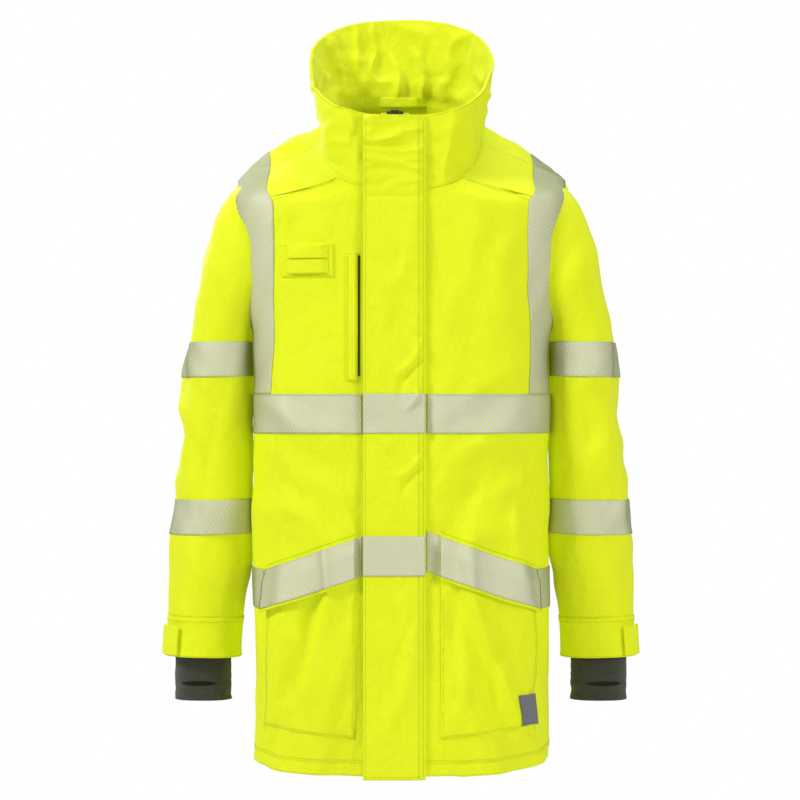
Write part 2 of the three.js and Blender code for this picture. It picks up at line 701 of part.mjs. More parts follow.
const sideLabelInner = 148;
const sideLabelBottom = 60;
const sideLabelHeight = 38;

function addLabels() {
  const labelTop = sideLabelBottom + sideLabelHeight;
  const label = rectangle(sideLabelInner, pocketOuter - 1, sideLabelBottom, labelTop);
  const labelLayer = bodyLayer(overPatch + trimThickness, overPatch, [0, 1, 2]);
  addPart('side_label', labelLayer.intersect(frontPrism(label)), labelGrey, 0.7);
  const sizeTop = neckBackHeight - 26;
  const sizeBox = boxSolid(-14, 14, 0, farReach, sizeTop - 22, sizeTop);
  const sizeOuter = liningInner - layerGap;
  const sizeLayer = bodyLayer(sizeOuter, sizeOuter - trimThickness, bodyRows.slice(8));
  addPart('size_label', sizeLayer.intersect(sizeBox), tapeSilver, 0.8);
}

// ---- Hanger loop inside the back neck: a strap on two sewn ends, with room for a hook behind it ----
const neckLiningY = neckBackDepth + liningInner;
const hangerBackY = neckLiningY - layerGap - hangerHookGap;
const hangerFrontY = hangerBackY - hangerThickness;
const hangerEndY = neckLiningY - 2.7; // the lining curves inwards towards the loop's ends
const hangerBottom = neckBackHeight - 6;

function addHangerLoop() {
  const half = hangerEndWidth / 2;
  const ends = [-hangerHalfWidth, hangerHalfWidth].map((x) => boxSolid(x - half, x + half,
    hangerFrontY, hangerEndY, hangerBottom, hangerBottom + hangerEndHeight));
  const strap = boxSolid(-hangerHalfWidth, hangerHalfWidth, hangerFrontY, hangerBackY, hangerBottom,
    hangerBottom + hangerWebbing);
  addPart('hanger_loop', joined(strap, ...ends), highVisYellow, 0.8);
}

// ---- Sleeves ----
const bodyOutline = filled(torsoPoint, bodyRows, torsoColumns, seamGap - 0.1);
const trimmedBodyOutline = filled(torsoPoint, bodyRows, torsoColumns, trimOuter + layerGap);
const tabInnerX = cuffInnerX + 77;
const tabBottom = cuffBottom + 5;
const tabHeight = 38;

function sleeveLayer(outer, inner, rows = sleeveRows) {
  return skin(sleevePoint, rows, sleeveColumns, outer, inner);
}

function addSleeveTape(name, lowInner, lowOuter) {
  const outline = slopedBand(lowInner, lowOuter, sleeveInnerX - 20, sleeveInnerX + 130, reflectiveWidth - 5);
  const tape = sleeveLayer(trimOuter + layerGap, 2 * layerGap).intersect(throughPrism(outline))
    .subtract(trimmedBodyOutline);
  addBothSides(name, tape, tapeSilver, 0.45);
}

function addBothSides(name, leftSolid, colour, roughness = 0.75) {
  addPart(`${name}_left`, leftSolid, colour, roughness);
  addPart(`${name}_right`, mirrored(leftSolid), colour, roughness);
}

function addSleeves() {
  addBothSides('sleeve', sleeveLayer(0, -clothThickness).subtract(bodyOutline), highVisYellow);
  addSleeveTape('sleeve_upper_tape', 499, 503);
  addSleeveTape('sleeve_lower_tape', 296, 300);
  addBothSides('cuff', sleeveLayer(0, -clothThickness, cuffRows), highVisYellow);
}

function addCuffTabs() {
  const reach = (low, high) => boxSolid(low, high, -farReach, 0, tabBottom, tabBottom + tabHeight);
  const leafInner = overPatch + 0.4;
  const leafLayer = sleeveLayer(leafInner + flapThickness, leafInner, cuffRows);
  const leaf = leafLayer.intersect(reach(tabInnerX, farReach));
  const seamStart = -6;
  const seamBox = boxSolid(tabInnerX, farReach, seamStart, 0, tabBottom, tabBottom + tabHeight);
  const seam = sleeveLayer(leafInner + flapThickness / 2, layerGap, cuffRows).intersect(seamBox);
  addBothSides('cuff_tab', joined(leaf, seam), highVisYellow);
  const tabTop = tabBottom + tabHeight;
  const hookBox = boxSolid(tabInnerX + 3, farReach, -farReach, -20, tabBottom + 6, tabTop - 6);
  const hook = sleeveLayer(trimOuter, layerGap, cuffRows).intersect(hookBox);
  addBothSides('cuff_loop_patch', hook, highVisYellow, 0.9);
}

// The stretch cuff hangs inside the sleeve, narrow below and spread to the sleeve at its top.
function innerCuffRings() {
  const middle = cuffInnerX + sleeveWidthAtCuff / 2;
  const ring = (z, halfWidth, depth, shift = 0) => sleeveRing(middle - halfWidth + shift, z,
    middle + halfWidth + shift, z, depth);
  const above = (innerCuffTop - cuffSeamHeight) / (forearmHeight - cuffSeamHeight);
  const host = ringBetween(sleeveRings, 1 + above);
  const inset = clothThickness + layerGap + 0.3;
  const inner = [host.innerX + inset, host.innerZ];
  const outer = [host.outerX - inset, host.outerZ];
  const top = sleeveRing(...inner, ...outer, host.depth - inset);
  return [
    ring(innerCuffBottom, innerCuffHalfWidth, innerCuffHalfDepth),
    ring(cuffBottom, innerCuffHalfWidth + 0.5, innerCuffHalfDepth),
    ring((cuffBottom + innerCuffTop) / 2, innerCuffHalfWidth + 4, innerCuffHalfDepth + 5),
    top,
  ];
}

function addInnerCuffs() {
  const rings = innerCuffRings();
  const surface = (v, angle) => tubePoint(rings, v, angle);
  const rows = [0, 0.5, 1, 2, 3];
  const cuff = skin(surface, rows, sleeveColumns, 0, -liningThickness);
  const middle = cuffInnerX + sleeveWidthAtCuff / 2 + 4;
  const slit = boxSolid(middle - thumbSlitWidth / 2, middle + thumbSlitWidth / 2, -farReach, 0,
    thumbSlitHeightAt, thumbSlitHeightAt + thumbSlitHeight);
  addBothSides('inner_cuff', cuff.subtract(slit), stretchOlive, 0.85);
}

// ---- The whole coat ----
addOuterCloth();
addLining();
addCollar();
addChestTape();
addWaistTapeBack();
addBraceTapes();
addPocket('right', pocketInnerRight);
addPocket('left', pocketInnerLeft);
addZip();
addSlider();
addStormFlap();
addChestPocket();
addRadioPatch();
addLabels();
addHangerLoop();
addSleeves();
addCuffTabs();
addInnerCuffs();

const coat = new THREE.Group();
coat.position.set(0, -(hangerFrontY + hangerBackY) / 2, -(hangerBottom + hangerWebbing / 2));
for (const { name, solid, colour, roughness, metalness } of parts) {
  const material = new THREE.MeshStandardMaterial({ color: colour, roughness, metalness });
  const mesh = new THREE.Mesh(toGeometry(solid), material);
  mesh.name = name;
  coat.add(mesh);
}

const group = new THREE.Group();
group.add(coat);

export default group;
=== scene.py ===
import math

import bpy
import numpy as np
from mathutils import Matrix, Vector


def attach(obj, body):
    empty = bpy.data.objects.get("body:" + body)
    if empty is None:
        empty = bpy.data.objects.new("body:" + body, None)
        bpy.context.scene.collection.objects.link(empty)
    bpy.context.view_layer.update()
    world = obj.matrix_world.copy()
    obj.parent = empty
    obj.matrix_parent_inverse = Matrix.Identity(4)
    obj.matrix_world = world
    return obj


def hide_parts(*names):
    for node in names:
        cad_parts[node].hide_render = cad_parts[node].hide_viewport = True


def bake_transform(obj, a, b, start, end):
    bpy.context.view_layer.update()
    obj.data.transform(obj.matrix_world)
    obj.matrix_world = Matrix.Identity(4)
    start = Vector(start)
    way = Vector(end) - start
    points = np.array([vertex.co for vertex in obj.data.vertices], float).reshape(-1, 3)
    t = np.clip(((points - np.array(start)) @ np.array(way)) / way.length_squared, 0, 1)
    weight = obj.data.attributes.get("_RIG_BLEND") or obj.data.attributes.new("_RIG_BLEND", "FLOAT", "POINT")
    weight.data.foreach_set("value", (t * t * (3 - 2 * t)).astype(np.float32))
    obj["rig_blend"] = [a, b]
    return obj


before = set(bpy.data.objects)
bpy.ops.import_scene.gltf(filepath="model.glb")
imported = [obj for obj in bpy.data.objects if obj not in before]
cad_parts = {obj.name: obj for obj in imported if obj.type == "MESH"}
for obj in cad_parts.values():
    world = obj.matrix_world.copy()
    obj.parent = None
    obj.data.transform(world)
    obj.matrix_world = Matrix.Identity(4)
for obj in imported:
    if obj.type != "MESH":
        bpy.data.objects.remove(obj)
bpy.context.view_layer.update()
scene = bpy.context.scene

# Sizes below are in millimetres. Heights count from the front hem and depths from the side seams.
origin = np.array([0, -0.07355, -0.8645])
ruled = {"cell": 3.4, "tapeCell": 2.6, "liningCell": 7.0}


def toFrame(points):
    return np.asarray(points, float) / 1000 + origin


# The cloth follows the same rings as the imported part, one value per ring from the hem up.
coat = {
    "halfWidth": [190, 190, 190, 191, 197, 208.5, 216, 163, 102, 109.75, 117.5],
    "back": [122, 124, 122, 126, 130, 128, 116, 102, 84, 91.75, 99.5],
    "lead": [3, 3, 3, 3, 3, 3, 3, 7, 12, 12, 12],
    "side": [19, 150, 300, 450, 565, 664, 745, 776.5, 808, 860, 912],
    "front": [0, 150, 300, 450, 565, 655, 711, 722.5, 736, 782.5, 829],
    "rear": [8, 150, 300, 450, 565, 673, 779, 830.5, 867, 923.5, 980],
    "square": [3, 3, 3, 3, 3, 3, 3, 3, 2.5, 2.5, 2.5],
}
arm = {
    "innerX": [209, 206, 198, 197, 197, 198, 191, 167, 137],
    "outerX": [306, 303, 298, 289, 277, 261, 240, 212, 176],
    "innerZ": [137, 188, 280, 370, 470, 527, 562, 577, 585],
    "outerZ": [139, 190, 280, 400, 530, 630, 707, 747, 753],
    "depth": [43, 44, 48, 55, 63, 68, 73, 73, 73],
}
face = {"depthAtHem": 140, "depthAtRim": 105, "height": 829}
faceOut = np.array([0, -0.99911, 0.042182])
armSquare = 2.3
neckRing, rimRing = 8, 10
zipX, openingHalf = -7.5, 6
flapFree, flapSewn = -47.5, 31


def fineTable(table):
    count = len(next(iter(table.values())))
    steps = np.linspace(0, count - 1, 200 * (count - 1) + 1)
    index = np.minimum(steps.astype(int), count - 2)
    part = steps - index
    square, cube = part ** 2, part ** 3
    fine = {"at": steps}
    for key, values in table.items():
        values = np.array(values, float)
        padded = np.concatenate([values[:1], values, values[-1:]])
        before, start, end, after = (padded[index + k] for k in range(4))
        fine[key] = (start * (2 * cube - 3 * square + 1) + (end - before) / 2 * (cube - 2 * square + part)
                     + end * (3 * square - 2 * cube) + (after - start) / 2 * (cube - square))
    return fine


coatFine, armFine = fineTable(coat), fineTable(arm)


def ringValue(fine, key, at):
    return np.interp(at, fine["at"], fine[key])


def powered(value, square):
    return np.sign(value) * np.abs(value) ** (2 / square)


def faceY(z):
    return z * (face["depthAtHem"] - face["depthAtRim"]) / face["height"] - face["depthAtHem"]


def smooth(low, high, value):
    part = np.clip((value - low) / (high - low), 0, 1)
    return part * part * (3 - 2 * part)


def unit(vectors):
    return vectors / np.maximum(np.linalg.norm(vectors, axis=-1, keepdims=True), 1e-9)


def heightAt(at, turn):
    along = powered(np.sin(turn), ringValue(coatFine, "square", at))
    side = ringValue(coatFine, "side", at)
    end = np.where(along < 0, ringValue(coatFine, "front", at), ringValue(coatFine, "rear", at))
    return side + np.abs(along) * (end - side)


def coatPoint(at, turn):
    at, turn = np.broadcast_arrays(at, turn)
    square = ringValue(coatFine, "square", at)
    along = powered(np.sin(turn), square)
    z = heightAt(at, turn)
    flat = faceY(z)
    front = np.maximum(along * (ringValue(coatFine, "lead", at) - flat), flat)
    y = np.where(along < 0, front, along * ringValue(coatFine, "back", at))
    x = powered(np.cos(turn), square) * ringValue(coatFine, "halfWidth", at)
    return np.stack([x, y, z], -1)


def armPoint(at, turn):
    at, turn = np.broadcast_arrays(at, turn)
    across = powered(np.cos(turn), armSquare)
    value = {key: ringValue(armFine, key, at) for key in arm}
    x = (value["innerX"] + value["outerX"]) / 2 + across * (value["outerX"] - value["innerX"]) / 2
    z = (value["innerZ"] + value["outerZ"]) / 2 + across * (value["outerZ"] - value["innerZ"]) / 2
    return np.stack([x, powered(np.sin(turn), armSquare) * value["depth"], z], -1)


def normalAt(surface, at, turn):
    around = surface(at, turn + 0.004) - surface(at, turn - 0.004)
    upward = surface(at + 0.01, turn) - surface(at - 0.01, turn)
    return unit(np.cross(around, upward))


def turnAtX(x, at, front=True):
    square = ringValue(coatFine, "square", at)
    share = np.clip(np.abs(x) / ringValue(coatFine, "halfWidth", at), 0, 1)
    quarter = np.arccos(share ** (square / 2))
    if front:
        return np.where(x > 0, 2 * math.pi - quarter, math.pi + quarter)
    return np.where(x > 0, quarter, math.pi - quarter)


def solve(shortfall, shape, low, high):
    low = np.full(shape, float(low))
    high = np.full(shape, float(high))
    for _ in range(26):
        middle = (low + high) / 2
        below = shortfall(middle) < 0
        low = np.where(below, middle, low)
        high = np.where(below, high, middle)
    return (low + high) / 2


def atHeight(z, turn):
    z, turn = np.broadcast_arrays(np.asarray(z, float), turn)
    return solve(lambda at: heightAt(at, turn) - z, z.shape, 0, rimRing)


def onFront(x, z):
    x, z = np.broadcast_arrays(np.asarray(x, float), np.asarray(z, float))
    at = solve(lambda a: heightAt(a, turnAtX(x, a)) - z, x.shape, 0, neckRing)
    return at, turnAtX(x, at)


def runLength(points):
    steps = np.linalg.norm(np.diff(points, axis=0), axis=-1)
    return np.concatenate([np.zeros((1,) + steps.shape[1:]), np.cumsum(steps, 0)])


def evenly(surface, at, start, end, count):
    fine = np.linspace(start, end, 1500)
    length = runLength(surface(at, fine))
    return np.interp(np.linspace(0, length[-1], count), length, fine)


def evenTurns(start, end, count):
    return evenly(coatPoint, 3.0, start, end, count)


def frontTurn(x, at):
    return float(turnAtX(x, at))


def coatDepth(points):
    x, y, z = points[..., 0], points[..., 1], points[..., 2]
    flat = faceY(z)

    def share(at):
        deep = np.where(y < 0, ringValue(coatFine, "lead", at) - flat, ringValue(coatFine, "back", at))
        return np.clip(np.abs(y) / deep, 0, 1)

    def shortfall(at):
        side = ringValue(coatFine, "side", at)
        end = np.where(y < 0, ringValue(coatFine, "front", at), ringValue(coatFine, "rear", at))
        return side + share(at) * (end - side) - z

    at = solve(shortfall, z.shape, 0, rimRing)
    square = ringValue(coatFine, "square", at)
    return (np.abs(x) / ringValue(coatFine, "halfWidth", at)) ** square + share(at) ** square - 1


def armDepth(points):
    x, y, z = np.abs(points[..., 0]), points[..., 1], points[..., 2]

    def value(key, at):
        return ringValue(armFine, key, at)

    def shortfall(at):
        runX, runZ = value("outerX", at) - value("innerX", at), value("outerZ", at) - value("innerZ", at)
        return -((z - value("innerZ", at)) * runX - (x - value("innerX", at)) * runZ)

    at = solve(shortfall, z.shape, 2.2, 8)
    runX, runZ = value("outerX", at) - value("innerX", at), value("outerZ", at) - value("innerZ", at)
    share = ((x - value("innerX", at)) * runX + (z - value("innerZ", at)) * runZ) / (runX ** 2 + runZ ** 2)
    across = np.abs(share * 2 - 1)
    return across ** armSquare + (np.abs(y) / value("depth", at)) ** armSquare - 1


# folds are how far the cloth stands out of that surface
noiseRandom = np.random.default_rng(7)
noiseOrder = np.tile(noiseRandom.permutation(256), 2)
noiseSlopes = unit(noiseRandom.normal(size=(256, 3)))


def noise(points, size, seed=0):
    place = np.asarray(points, float) / np.array(size, float) + seed * 13.7
    cell = np.floor(place).astype(int)
    part = place - cell
    fade = part ** 3 * (part * (part * 6 - 15) + 10)
    total = 0
    for corner in range(8):
        step = np.array([corner & 1, corner >> 1 & 1, corner >> 2 & 1])
        at = (cell + step) & 255
        index = noiseOrder[noiseOrder[noiseOrder[at[..., 0]] + at[..., 1]] + at[..., 2]]
        value = ((part - step) * noiseSlopes[index]).sum(-1)
        total = total + value * np.prod(np.where(step == 1, fade, 1 - fade), -1)
    return total * 1.7


def ridge(value, width=0.35):
    return np.exp(-(value / width) ** 2)


folds = {
    "drape": 12.0,  # long soft folds below the chest
    "chest": 5.0,
    "pucker": 1.0,  # along the hem
    "collar": 3.6,
    "sleeve": 8.0,
    "drag": 7.0,  # slanted pulls from the arms towards the waist
}


def seamDip(distance, width=4.0):
    return -0.9 * np.exp(-(distance / width) ** 2)


def yokeLine(x):
    return np.interp(np.abs(x), [0, 82, 163, 211], [790, 752, 727, 717])


# folds that are always in the same place: both ends as (x, height), how wide and how deep
placedFolds = [
    ((72, 224), (98, 46), 13, -7.0),
    ((96, 215), (126, 60), 10, 4.0),
    ((125, 170), (138, 50), 9, -4.5),
    ((58, 226), (66, 60), 8, 3.5),
    ((-96, 235), (-112, 50), 12, -7.5),
    ((-132, 190), (-150, 60), 12, 6.0),
    ((-66, 230), (-74, 50), 9, 5.5),
    ((172, 110), (168, 30), 8, -4.0),
    ((-150, 400), (-62, 300), 22, -5.0),
    ((-160, 340), (-90, 285), 13, 3.5),
    ((150, 405), (60, 318), 24, -5.0),
    ((165, 345), (110, 290), 13, 3.5),
    ((-54, 822), (-51, 742), 4.5, -4.5),
    ((-62, 815), (-60, 750), 5, 3.0),
    ((40, 812), (43, 745), 5, -3.0),
    ((-70, 790), (-56, 738), 7, -3.5),
    ((96, 620), (102, 500), 18, -3.0),
    ((-118, 600), (-100, 500), 18, -2.6),
    ((130, 700), (108, 590), 14, -2.6),
    ((-135, 705), (-120, 660), 12, -2.4),
]
insideFolds = [
    ((-16, 932), (-5, 862), 6, 6.5),
    ((14, 940), (30, 868), 6, 7.5),
    ((-62, 930), (-50, 880), 9, 4.0),
    ((66, 925), (58, 880), 9, 4.0),
]


def placed(x, z, lines):
    total = 0
    for (startX, startZ), (endX, endZ), width, depth in lines:
        runX, runZ = endX - startX, endZ - startZ
        length = math.hypot(runX, runZ)
        along = ((x - startX) * runX + (z - startZ) * runZ) / length ** 2
        away = ((x - startX) * runZ - (z - startZ) * runX) / length
        away = away + 0.12 * length * np.sin(along * math.pi) * np.sign(depth)
        near = np.exp(-(away / width) ** 2)
        total = total + depth * near * smooth(-0.12, 0.25, along) * smooth(1.12, 0.75, along)
    return total


def hemHeight(y):
    along = np.clip(np.abs(y) / np.where(y < 0, 140, 122), 0, 1)
    return 19 + along * (np.where(y < 0, 0, 8) - 19)


def coatFold(base):
    x, y, z = base[..., 0], base[..., 1], base[..., 2]
    low = smooth(470, 180, z)
    lean = np.tanh(x / 45)
    slanted = base + np.stack([0.32 * z * lean, 0 * z, 0 * z], -1) * low[..., None]
    drape = noise(slanted, (52, 64, 300), 1) + 0.7 * (ridge(noise(slanted, (58, 70, 380), 2), 0.25) - 0.4)
    drape += 0.45 * noise(slanted, (26, 40, 120), 17) * smooth(230, 120, z)
    chest = noise(base, (80, 95, 130), 3) + 0.30 * noise(base, (36, 42, 52), 4)
    drape = drape * (1 - 0.75 * smooth(140, 186, np.abs(x)))
    value = folds["drape"] * drape * low + folds["chest"] * chest * (1 - 0.4 * low)
    pulled = noise(base @ np.array([[1, 0, 0.7], [0, 1, 0], [-0.7, 0, 1]]), (34, 70, 110), 5)
    arms = smooth(120, 185, np.abs(x)) * smooth(420, 560, z) * smooth(760, 690, z)
    value += 3.0 * pulled * arms
    leaning = np.stack([x * 0.8 + z * 0.45 * lean, y, z * 0.8 - x * lean * 0.45], -1)
    waist = smooth(250, 330, z) * smooth(560, 420, z) * (1 - 0.7 * smooth(140, 186, np.abs(x)))
    value += placed(x, z, placedFolds) * smooth(-20, -50, y)
    drag = noise(leaning, (110, 90, 46), 10) + 0.5 * noise(leaning, (60, 60, 24), 16)
    value += folds["drag"] * drag * waist
    hem = z - hemHeight(y)
    value += folds["pucker"] * noise(base, (7, 7, 26), 6) * np.exp(-(hem / 13) ** 2)
    value += seamDip(hem - 17, 2.5) * 0.7
    top = smooth(745, 800, z)
    rolls = ridge(noise(base, (72, 72, 26), 7), 0.3) + noise(base, (46, 60, 30), 8)
    value += folds["collar"] * (rolls - 0.35) * top * (0.12 + 0.88 * smooth(960, 820, z))
    value += 1.2 * noise(base, (60, 60, 90), 9) * smooth(820, 880, z)
    value += 0.3 * (seamDip(z - yokeLine(x), 3) * (y < 0) + seamDip(z - 738, 3) * (y >= 0))
    under = (y < -60) & (z < 840)
    calm = smooth(8, 46, np.abs(x - (flapFree + flapSewn) / 2) - 30)
    return np.where(under, value * (0.18 + 0.82 * calm), value)


def armFold(base, side):
    x, y, z = base[..., 0], base[..., 1], base[..., 2]
    place = np.stack([x * side, y, z], -1)
    slanted = place @ np.array([[1, 0, 0.55 * side], [0, 1, 0.25], [-0.55 * side, 0, 1]])
    value = noise(slanted, (52, 60, 170), 11) + 0.5 * noise(slanted, (30, 34, 70), 12)
    value += 0.5 * (ridge(noise(slanted, (60, 60, 130), 13)) - 0.4)
    bent = smooth(600, 440, z) * smooth(190, 330, z)
    value = folds["sleeve"] * value * (0.35 + 0.65 * bent) * smooth(745, 650, z)
    elbow = noise(place, (60, 50, 22), 14) * smooth(300, 400, z) * smooth(520, 440, z) * smooth(262, 215, x)
    value = (value + 3.4 * elbow) * (0.25 + 0.75 * smooth(185, 240, z))
    middle = 197 + 0.2 * (600 - z)
    beside = smooth(250, 330, z) * smooth(600, 545, z)
    close = smooth(middle + 10, middle - 4, x) * beside
    return value * (1 - 0.8 * close) + 4.6 * close


# every piece of cloth is a closed sheet with an outside, an inside and a rim
materials = {}


def measured(points):
    runs = np.linalg.norm(np.diff(points, axis=1), axis=-1).mean(0)
    across = np.concatenate([[0], np.cumsum(runs)])
    along = runLength(points)
    uv = np.empty(points.shape[:2] + (2,))
    uv[..., 0] = across - across[-1] / 2
    uv[..., 1] = along - along.max(0).mean() / 2
    return uv / 1000


def makeMesh(name, points, faces, uvs, flatFaces):
    mesh = bpy.data.meshes.new(name)
    mesh.from_pydata([], [], [])
    mesh.vertices.add(len(points))
    mesh.vertices.foreach_set("co", toFrame(points).ravel())
    mesh.loops.add(faces.size)
    mesh.loops.foreach_set("vertex_index", faces.ravel())
    mesh.polygons.add(len(faces))
    mesh.polygons.foreach_set("loop_start", np.arange(len(faces)) * 4)
    layer = mesh.uv_layers.new(name="cloth")
    layer.data.foreach_set("uv", uvs.ravel())
    mesh.polygons.foreach_set("use_smooth", ~flatFaces)
    mesh.update(calc_edges=True)
    mesh.validate()
    obj = bpy.data.objects.new(name + "_sewn", mesh)
    scene.collection.objects.link(obj)
    return obj


def shell(name, outer, inner, uv, keep=None, wrap=False):
    rows, columns = outer.shape[:2]
    around = outer[1:, :-1][::2, ::2] - outer[:-1, :-1][::2, ::2]
    across = outer[:-1, 1:][::2, ::2] - outer[:-1, :-1][::2, ::2]
    outwards = (outer - inner)[:-1, :-1][::2, ::2]
    if (np.cross(across, around) * outwards).sum() < 0:
        outer, inner, uv = outer[:, ::-1], inner[:, ::-1], uv[:, ::-1]
        keep = None if keep is None else keep[:, ::-1]
    if keep is None:
        keep = np.ones((rows - 1, columns - 1), bool)
    width = columns - 1 if wrap else columns
    row, column = np.nonzero(keep)
    corners = [(row, column), (row, column + 1), (row + 1, column + 1), (row + 1, column)]
    quads = np.stack([r * width + c % width for r, c in corners], 1)
    quadUv = np.stack([uv[r, c] for r, c in corners], 1)
    count = rows * width
    edges = np.stack([quads, np.roll(quads, -1, 1)], -1).reshape(-1, 2)
    edgeUv = np.stack([quadUv, np.roll(quadUv, -1, 1)], 2).reshape(-1, 2, 2)
    forward = edges[:, 0] * count + edges[:, 1]
    backward = edges[:, 1] * count + edges[:, 0]
    rim = ~np.isin(forward, backward)
    walls = edges[rim]
    wallFaces = np.stack([walls[:, 1], walls[:, 0], walls[:, 0] + count, walls[:, 1] + count], 1)
    wallUv = edgeUv[rim][:, [1, 0, 0, 1]]
    faces = np.concatenate([quads, quads[:, ::-1] + count, wallFaces])
    uvs = np.concatenate([quadUv, quadUv[:, ::-1], wallUv])
    points = np.concatenate([outer[:, :width].reshape(-1, 3), inner[:, :width].reshape(-1, 3)])
    used, faces = np.unique(faces, return_inverse=True)
    faces = faces.reshape(-1, 4)
    flatFaces = np.arange(len(faces)) >= 2 * len(quads)
    return makeMesh(name, points[used], faces, uvs, flatFaces)


def dress(obj, body, slot, *nodes):
    obj.data.materials.clear()
    obj.data.materials.append(materials[slot])
    if body:
        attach(obj, body)
    if nodes:
        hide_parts(*nodes)
    return obj


def declareSheet(uv, points):
    width = float(np.ptp(uv[..., 0]))
    length = float(np.ptp(uv[..., 1]))
    a = points[:-1, :-1] - points[1:, 1:]
    b = points[:-1, 1:] - points[1:, :-1]
    area = float(np.linalg.norm(np.cross(a, b), axis=-1).sum() / 2e6)
    area = float(np.clip(area, 0.31 * width * length, width * length))
    if min(width, length) < 0.011:
        return


def coatSheet(name, at, turn, layer, slot, body="coat_body", lift=0, keep=None, lengthwise=False, node=True):
    base = coatPoint(at, turn)
    normal = normalAt(coatPoint, at, turn)
    stand = coatFold(base) + lift
    front, behind = (base + normal * (out + stand)[..., None] for out in layer)
    uv = measured(base)
    if lengthwise:  # the tape's length runs up the rows
        uv = uv[..., ::-1]
    obj = shell(name, front, behind, uv, keep)
    dress(obj, body, slot, *([name] if node else []))
    declareSheet(uv, base)


# how far the outside and the inside of each sheet stand out of the coat's surface
layers = {
    "shell": (0, -1.6),
    "yoke": (0.5, -1.1),
    "lining": (-2.2, -3.4),
    "collarLining": (-2.1, -3.3),
    "bag": (-3.8, -5.0),
    "sizeLabel": (-3.7, -4.6),
    "tape": (1.5, 0.35),
    "pocketPatch": (1.2, 0.2),
    "pocketFlap": (2.9, 1.6),
    "pocketFlapTape": (4.1, 3.1),
    "welt": (2.0, 0.3),
    "facing": (0.9, 0.2),
    "patch": (1.5, 0.3),
    "loop": (3.1, 2.0),
    "sideLabel": (4.9, 4.1),
    "stormFlap": (5.8, 4.2),
    "flapTape": (7.1, 6.1),
    "hookStrip": (3.9, 2.8),
    "loopStrip": (2.0, 0.3),
    "zipTape": (-2.0, -2.9),
    "armTape": (1.6, 0.4),
    "cuff": (0.4, -1.6),
    "cuffTab": (3.6, 2.1),
    "cuffLoop": (1.7, 0.6),
    "innerCuff": (0.0, -1.7),
}


class Shader:
    def __init__(self, name):
        self.material = bpy.data.materials.new(name)
        self.material.use_nodes = True
        self.tree = self.material.node_tree
        self.surface = self.tree.nodes["Principled BSDF"]

    def node(self, kind, **settings):
        added = self.tree.nodes.new(kind)
        for key, value in settings.items():
            setattr(added, key, value)
        return added

    def link(self, source, socket):
        if isinstance(source, (int, float, tuple)):
            socket.default_value = source
        else:
            self.tree.links.new(source, socket)

    def math(self, operation, a, b=0.0, c=0.0, clamp=False):
        added = self.node("ShaderNodeMath", operation=operation, use_clamp=clamp)
        for socket, value in zip(added.inputs, (a, b, c)):
            self.link(value, socket)
        return added.outputs[0]

    def noise(self, scale, detail=3.0, rough=0.55, stretch=None):
        place = self.node("ShaderNodeTexCoord").outputs["Object"]
        if stretch:
            mapping = self.node("ShaderNodeMapping")
            self.link(place, mapping.inputs["Vector"])
            mapping.inputs["Scale"].default_value = stretch
            place = mapping.outputs[0]
        added = self.node("ShaderNodeTexNoise")
        self.link(place, added.inputs["Vector"])
        self.link(scale, added.inputs["Scale"])
        self.link(detail, added.inputs["Detail"])
        self.link(rough, added.inputs["Roughness"])
        return added.outputs["Fac"]

    def uv(self):
        place = self.node("ShaderNodeUVMap", uv_map="cloth").outputs[0]
        split = self.node("ShaderNodeSeparateXYZ")
        self.link(place, split.inputs[0])
        return split.outputs[0], split.outputs[1]

    def mix(self, factor, a, b):
        added = self.node("ShaderNodeMix", data_type="RGBA")
        self.link(factor, added.inputs["Factor"])
        self.link(a, added.inputs[6])  # 6, 7 and 2 are the colour sockets
        self.link(b, added.inputs[7])
        return added.outputs[2]

    def bump(self, height, depth, strength=1.0, after=None):
        added = self.node("ShaderNodeBump")
        self.link(height, added.inputs["Height"])
        added.inputs["Distance"].default_value = depth
        added.inputs["Strength"].default_value = strength
        if after is not None:
            self.link(after, added.inputs["Normal"])
        return added.outputs[0]

    def set(self, **values):
        for key, value in values.items():
            self.link(value, self.surface.inputs[key.replace("_", " ")])
        return self


def linear(red, green, blue):
    bright = (((c / 255 + 0.055) / 1.055) ** 2.4 if c > 10.3 else c / 255 / 12.92 for c in (red, green, blue))
    return (*bright, 1)


